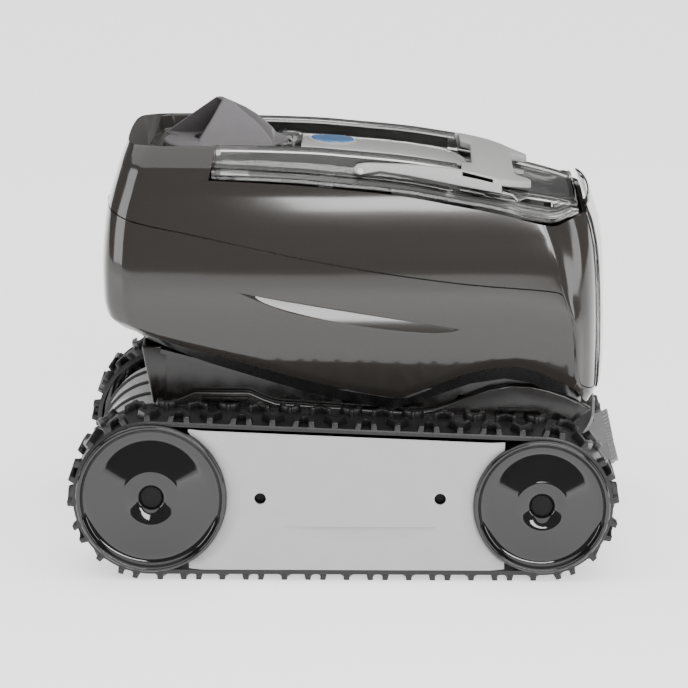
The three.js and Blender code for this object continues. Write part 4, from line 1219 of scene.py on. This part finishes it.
# ------------------------------------------------------------------ lid, handle and nozzle
@dataclass
class Lid:
    """The clear lid with its rails, the grey spine over its middle and the blank badge."""

    edge: Table = ((-93, 263), (-38, 260.6), (-5, 257.9), (39, 253.5), (69, 248), (103, 241.8), (133, 234.1),
                   (139, 233.2), (151, 237), (158, 239.4))
    rail_top: Table = ((-93, 282.4), (-65, 282), (-25, 280.8), (3, 278.6), (39, 275.2), (74, 270))
    hump_top: Table = ((-93, 275.5), (-33, 273.6), (0, 271.6), (39, 268), (60, 264.6), (82, 260), (113, 255),
                       (140, 249.5), (160, 244))
    rear_x: float = -91.0
    front_x: float = 156.0
    rail_end: float = 74.0
    wall: float = 2.2
    nozzle_clearance: float = 45.5
    opening: Row = (240.0, 300.0)  # the height that the nozzle's opening is cut over

    def half(self, x: float, inset: float) -> list[Row]:
        """Half of the lid's section, as y and z from the skirt to the middle."""
        edge, hump = read_table(self.edge, x), read_table(self.hump_top, x)
        railed = 1 - min(1.0, max(0.0, (x - self.rail_end) / 2.5))
        deck = min(hump - 3, edge + 14)
        rail = deck + (read_table(self.rail_top, x) - deck) * railed
        middle = deck + (hump - deck) * railed
        taper = max(0.0, x - 118) * 0.3
        width = 86.3 - max(0.0, x - 118) * 0.24
        ledge = min(edge + 5.6, deck - 1)
        return [
            (width - inset, edge), (width - 0.4 - inset, edge + 2.5 - inset * 0.3),
            (width - 2.2 - inset, ledge - 1 - inset), (width - 4 - inset, ledge - inset),
            (74 - inset - taper, ledge + 0.4 - inset), (72.6 - inset - taper, ledge + 2),
            (71.8 - inset - taper, rail - 1 - inset), (70.6 - inset - taper, rail - inset),
            (61.6 + inset - taper, rail - inset), (60.4 + inset - taper, rail - 1 - inset),
            (59 + inset - taper, deck + 0.4 - inset), (57 - taper, deck - inset),
            (30, middle - inset), (0, middle + 0.4 - inset),
        ]

    def section(self, x: float) -> list[Vector]:
        """The lid's closed section at a place along the length."""
        outer = [Vector((x, y, z)) for y, z in self.half(x, 0)]
        inner = [Vector((x, y, z)) for y, z in self.half(x, self.wall)]

        def flip(rows: list[Vector]) -> list[Vector]:
            """The same points on the other side."""
            return [Vector((p.x, -p.y, p.z)) for p in rows]

        return outer + flip(outer)[::-1][1:] + flip(inner) + inner[::-1][1:] + [outer[0]]

    def shell(self) -> bpy.types.Object:
        """The clear moulding, cut away round the nozzle and over the hinge ears."""
        stations = [*spread(self.rear_x, self.rail_end, 28), *spread(self.rail_end + 1, self.rail_end + 2.6, 3),
                    *spread(82, self.front_x, 16)]
        sections = {x: self.section(x) for x in stations}
        count = len(sections[stations[0]])
        lid = skin("lid_shell", stations, list(range(count)), lambda x, row: sections[x][int(row)])
        with editing(lid):
            pick(lid, Pick.EDGES, lambda e: e.is_boundary)
            bpy.ops.mesh.edge_face_add()
            heal()
        wall = plate("front_wall", [(self.front_x - 2.4, 241), (self.front_x, 240), (self.front_x, 243.5),
                                    (self.front_x - 2.4, 245.5)], -60, 60)
        lid = weld("lid_shell", [lid, wall])
        drill(lid, self.nozzle_clearance, self.opening, Vector((PUMP_X, 0, 0)), steps=96)
        for side in SIDES.values():
            low, high = sorted((side * 56, side * 62))
            carve(lid, plate("slot_tool", [(-100, 240), (-80, 240), (-80, 300), (-100, 300)], low, high))
        return lid

    def spine(self) -> bpy.types.Object:
        """The grey half-round bar over the lid's middle, from the nozzle's collar to its rounded end."""
        def surface(column: float, row: float) -> Vector:
            """A point of the bar, which closes to a round end."""
            end = max(0.0, (column - 62) / 20)
            half_width = 29 * math.sqrt(max(0.0, 1 - end * end)) if column > 62 else 29
            angle = math.pi * row
            top = read_table(self.hump_top, column) + 0.6
            crown = 3.2 * math.sin(angle) ** 0.7 * (1 if column < 62 else math.sqrt(max(0.0, 1 - end * end)))
            return Vector((column, half_width * math.cos(angle), top + crown))

        along = [*spread(-32, 60, 30), *spread(63, 82, 14)]
        spine = skin("lid_spine", along, [1 - t for t in spread(0, 1, 29)], surface)
        with editing(spine):
            heal()
        modify(spine, "SOLIDIFY", thickness=1.2 * MM, offset=-1)
        return spine

    def collar(self) -> bpy.types.Object:
        """The raised clear ring that closes round the front of the nozzle's disc."""
        def oval(front: float, half: float, corner: float) -> list[Row]:
            """A tongue that starts under the nozzle and ends in two rounded corners."""
            x, y = front - corner, half - corner
            left = [(x + corner * math.cos(a), y + corner * math.sin(a)) for a in spread(0, math.pi / 2, 9)]
            right = [(x, -y) for x, y in reversed(left)]
            return [(-66, -half), *right, *left, (-66, half)]

        ring = plate("nozzle_collar", oval(-31, 29, 16), 270, 277.6, along="Z")
        carve(ring, plate("hole_tool", oval(-35.5, 24.5, 12), 260, 290, along="Z"))
        drill(ring, self.nozzle_clearance, self.opening, Vector((PUMP_X, 0, 0)), steps=96)
        round_edges(ring, 0.9, 3, 40)
        return ring

    def shade_sheets(self) -> bpy.types.Object:
        """Dark sheets inside both rails: painted shade in the hollows of the clear rails."""
        places = spread(-66, 69, 24)
        top = [(x, read_table(self.rail_top, x) - 3.6) for x in places]
        foot = [(x, read_table(self.edge, x) + 6.5) for x in reversed(places)]
        ribs = []
        for side in SIDES.values():
            low, high = sorted((side * 63.5, side * 68.6))
            ribs.append(plate("rail_shade_sheet", top + foot, low, high))
        return weld("rail_shade_sheets", ribs)

    def badge(self) -> list[bpy.types.Object]:
        """A round blank badge in a pale bezel."""
        slope = (read_table(self.hump_top, 6) - read_table(self.hump_top, -28)) / 34
        pieces = []
        for name, radius, thickness, lift in (("badge_bezel", 16.8, 1.0, 4.0), ("blank_badge", 14.6, 1.5, 4.6)):
            disc = add_primitive(name, bpy.ops.mesh.primitive_cylinder_add, vertices=96, radius=1, depth=1)
            with editing(disc):
                pick(disc, Pick.FACES, lambda f: f.normal.z > 0.9)
                bpy.ops.mesh.inset(thickness=0.06, depth=0)
                mould(disc, lambda p: Vector((
                    -11 + radius * p.x, radius * p.y * 0.96,
                    read_table(self.hump_top, -11) + lift + thickness * p.z + slope * radius * p.x
                    - 0.0016 * (radius * p.y) ** 2)) * MM)
            round_edges(disc, 0.35, 2, 40)
            pieces.append(disc)
        return pieces

    def build(self, finishes: Finishes) -> None:
        """Build the lid's pieces."""
        finish(self.shell(), finishes.clear, "lid", ["lid"], 30)
        finish(self.spine(), finishes.spine, "lid", (), 40)
        finish(self.collar(), finishes.clear, "lid", (), 40)
        # dark sheets inside the clear rails paint the shade in their hollows
        finish(self.shade_sheets(), finishes.chassis, "lid", (), 40)
        bezel, badge = self.badge()
        finish(bezel, finishes.handle, "lid", (), 30)
        finish(badge, finishes.badge, "lid", ["badge"], 30)


@dataclass
class Handle:
    """The forked carrying handle."""

    thickness: float = 4.8
    arm_y: Row = (74.0, 80.0)
    # height of the plate's underside along its length
    underside: Table = ((70, 265), (84, 262.3), (100, 258.4), (113, 254.8), (124, 252))

    def build(self, finishes: Finishes) -> None:
        """Build the bridge with its prongs and the two arms."""
        half = [(84.5, 0), (84.5, 36), (83.5, 40), (81, 43), (77.5, 46), (76.5, 80), (98, 80), (107, 75.5), (123, 58.5),
                (124.3, 56), (124.3, 48.5), (122.5, 46), (116, 43), (113.8, 40), (113, 36), (113, 0)]
        outline = half + [(x, -y) for x, y in reversed(half) if y > 0]
        bridge = plate("handle_bridge", outline[::-1], 0, self.thickness, along="Z")
        with editing(bridge):
            for x in (88, 94, 100, 106, 112, 118):
                bpy.ops.mesh.select_all(action="SELECT")
                bpy.ops.mesh.bisect(plane_co=(x * MM, 0, 0), plane_no=(1, 0, 0))
            mould(bridge, lambda p: Vector((p.x, p.y, p.z + read_table(self.underside, p.x / MM) * MM)))
        round_edges(bridge, 0.9, 3, 30)
        arm = [(5, 266.6), (9, 265), (13, 265.9), (22, 267.6), (40, 264.9), (62.5, 260.4), (80, 256.8), (104, 252.4),
               (104, 261.6), (78, 268.2), (62, 270.2), (40, 271.8), (14, 272.8), (7, 272), (4.4, 269.4)]
        pieces = [bridge]
        for side in SIDES.values():
            low, high = sorted((side * self.arm_y[0], side * self.arm_y[1]))
            limb = plate("arm", arm, low, high)
            round_edges(limb, 0.9, 3, 20)
            pieces.append(limb)
        finish(weld("carry_handle", pieces), finishes.handle, "handle", ["handle"], 35)


@dataclass
class Nozzle:
    """The turning outlet: a round disc with a scoop that opens to the rear."""

    radius: float = 43.0
    seat: float = 273.4
    bore: float = 22.0

    def hood(self, name: str, outline: Sequence[Row], low: float, high: float) -> bpy.types.Object:
        """A hood over a side outline, wider at its foot than at its top."""
        hood = plate(name, outline, -1, 1)
        with editing(hood):
            def lean(p: Vector) -> Vector:
                """Draw the walls in towards the top and turn the mouth a little to the right."""
                y = math.copysign(low + (high - low) * (p.z / MM - 273) / 33, p.y) * MM
                turn = 0.5 * min(1.0, max(0.0, (-72 - p.x / MM) / 16))
                return Vector((p.x - turn * y, y, p.z))

            mould(hood, lean)
        return hood

    def build(self, finishes: Finishes) -> None:
        """Build the disc and the scoop and hollow them."""
        centre = Vector((PUMP_X, 0, 0))
        seat, r, hole = self.seat, self.radius, self.bore - 0.1
        disc = turned("nozzle_disc", [
            (hole, seat), (r, seat), (r, seat + 2.6), (r - 0.8, seat + 3.5), (r - 8, seat + 3.8), (r - 11, seat + 5),
            (hole, seat + 5)], centre, "Z", 96)
        outside = self.hood("scoop", [
            (-116, 276.4), (-50, 276.4), (-53, 281), (-58, 286.6), (-64, 292), (-71, 297), (-79, 302), (-85.5, 305.4),
            (-88.5, 305)], 29, 6)
        round_edges(outside, 2.4, 4, 30)
        inside = self.hood("scoop_tool", [
            (-130, 279), (-57, 276), (-59, 281), (-64, 287), (-70, 292.4), (-78, 297.6), (-86, 301.4), (-96, 312),
            (-130, 312)], 26, 3.2)
        carve(outside, inside)
        drill(outside, self.bore, (260, 279.5), centre)
        nozzle = weld("outlet_nozzle", [disc, outside])
        finish(nozzle, finishes.nozzle, "nozzle", ["nozzle"], 35)


def dress_frame(finishes: Finishes) -> None:
    """Give every solid that is shown as it is its own finish."""
    looks = {
        "steel": finishes.steel, "white_plastic": finishes.acetal, "black_plastic": finishes.chassis,
        "track_rubber": finishes.rubber, "wheel_plastic": finishes.wheel, "body_shell": finishes.shell,
        "panel_plastic": finishes.panel, "handle_plastic": finishes.handle, "nozzle_plastic": finishes.nozzle,
        "clear_plastic": finishes.clear, "badge_plastic": finishes.badge,
    }
    for part in frame["record"]["subparts"]:
        node = bpy.data.objects[part["node"]]
        look = looks[part["material_slot"]]
        if part["node"] == "filter_screen":
            look = finishes.mesh
        elif "panel_screw" in part["node"]:
            look = finishes.screw
        for slot in node.material_slots:
            slot.material = look
        if not node.material_slots:
            node.data.materials.append(look)


# ------------------------------------------------------------------ studio
def make_studio() -> None:
    """Set the camera, a pale seamless floor and soft lights round the machine."""
    azimuth, elevation, distance = math.radians(0.82), math.radians(12.12), 2.834
    target = Vector((-0.00315, 0, 0.1318))
    back = Vector((math.sin(azimuth) * math.cos(elevation), -math.cos(azimuth) * math.cos(elevation),
                   math.sin(elevation)))
    lens = bpy.data.cameras.new("studio_camera")
    lens.lens, lens.sensor_width = 212.65, 36.0
    camera = bpy.data.objects.new("studio_camera", lens)
    camera.location = target + back * distance
    camera.rotation_euler = (-back).to_track_quat("-Z", "Y").to_euler()
    bpy.context.collection.objects.link(camera)
    bpy.context.scene.camera = camera

    floor = add_primitive("studio_floor", bpy.ops.mesh.primitive_plane_add, size=40)
    paper = bpy.data.materials.new("paper_white")
    paper.use_nodes = True
    shader = paper.node_tree.nodes["Principled BSDF"]
    shader.inputs["Base Color"].default_value = (0.9, 0.9, 0.9, 1)
    shader.inputs["Roughness"].default_value = 0.9
    # the paper is lit from below as well, as on a light table
    shader.inputs["Emission Color"].default_value = (1, 1, 1, 1)
    shader.inputs["Emission Strength"].default_value = 1.0
    floor.data.materials.append(paper)

    world = bpy.data.worlds.new("studio_world")
    world.use_nodes = True
    world.node_tree.nodes["Background"].inputs["Color"].default_value = (1, 1, 1, 1)
    world.node_tree.nodes["Background"].inputs["Strength"].default_value = 0.16
    bpy.context.scene.world = world
    sky = bpy.data.lights.new("studio_sky", "SUN")
    sky.energy, sky.angle = 3.6, math.radians(100)
    sky_object = bpy.data.objects.new("studio_sky", sky)
    bpy.context.collection.objects.link(sky_object)
    # name, place, size, watts
    softboxes = (
        ("near_softbox", (0.75, -2.4, 1.16), (1.9, 0.42), 46.0),
        ("left_softbox", (-1.9, -0.6, 0.7), (0.5, 1.0), 8.0),
        ("right_softbox", (1.9, -0.6, 0.7), (0.5, 1.0), 8.0),
    )
    for name, place, (width, height), watts in softboxes:
        light = bpy.data.lights.new(name, "AREA")
        light.shape, light.size, light.size_y, light.energy = "RECTANGLE", width, height, watts
        box = bpy.data.objects.new(name, light)
        box.location = place
        box.rotation_euler = (target - Vector(place)).to_track_quat("-Z", "Y").to_euler()
        bpy.context.collection.objects.link(box)


def main() -> None:
    """Build the studio and every sub-assembly in order."""
    logging.basicConfig(level=logging.INFO, format="%(name)s: %(message)s")
    make_studio()
    finishes = Finishes()
    dress_frame(finishes)
    assemblies = (
        BodyShells(), TubFlare(), WheelCaps(), Tracks(), SidePlates(), Rollers(), Lid(), Handle(), Nozzle(),
    )
    for assembly in assemblies:
        assembly.build(finishes)


if __name__ == "__main__":
    main()
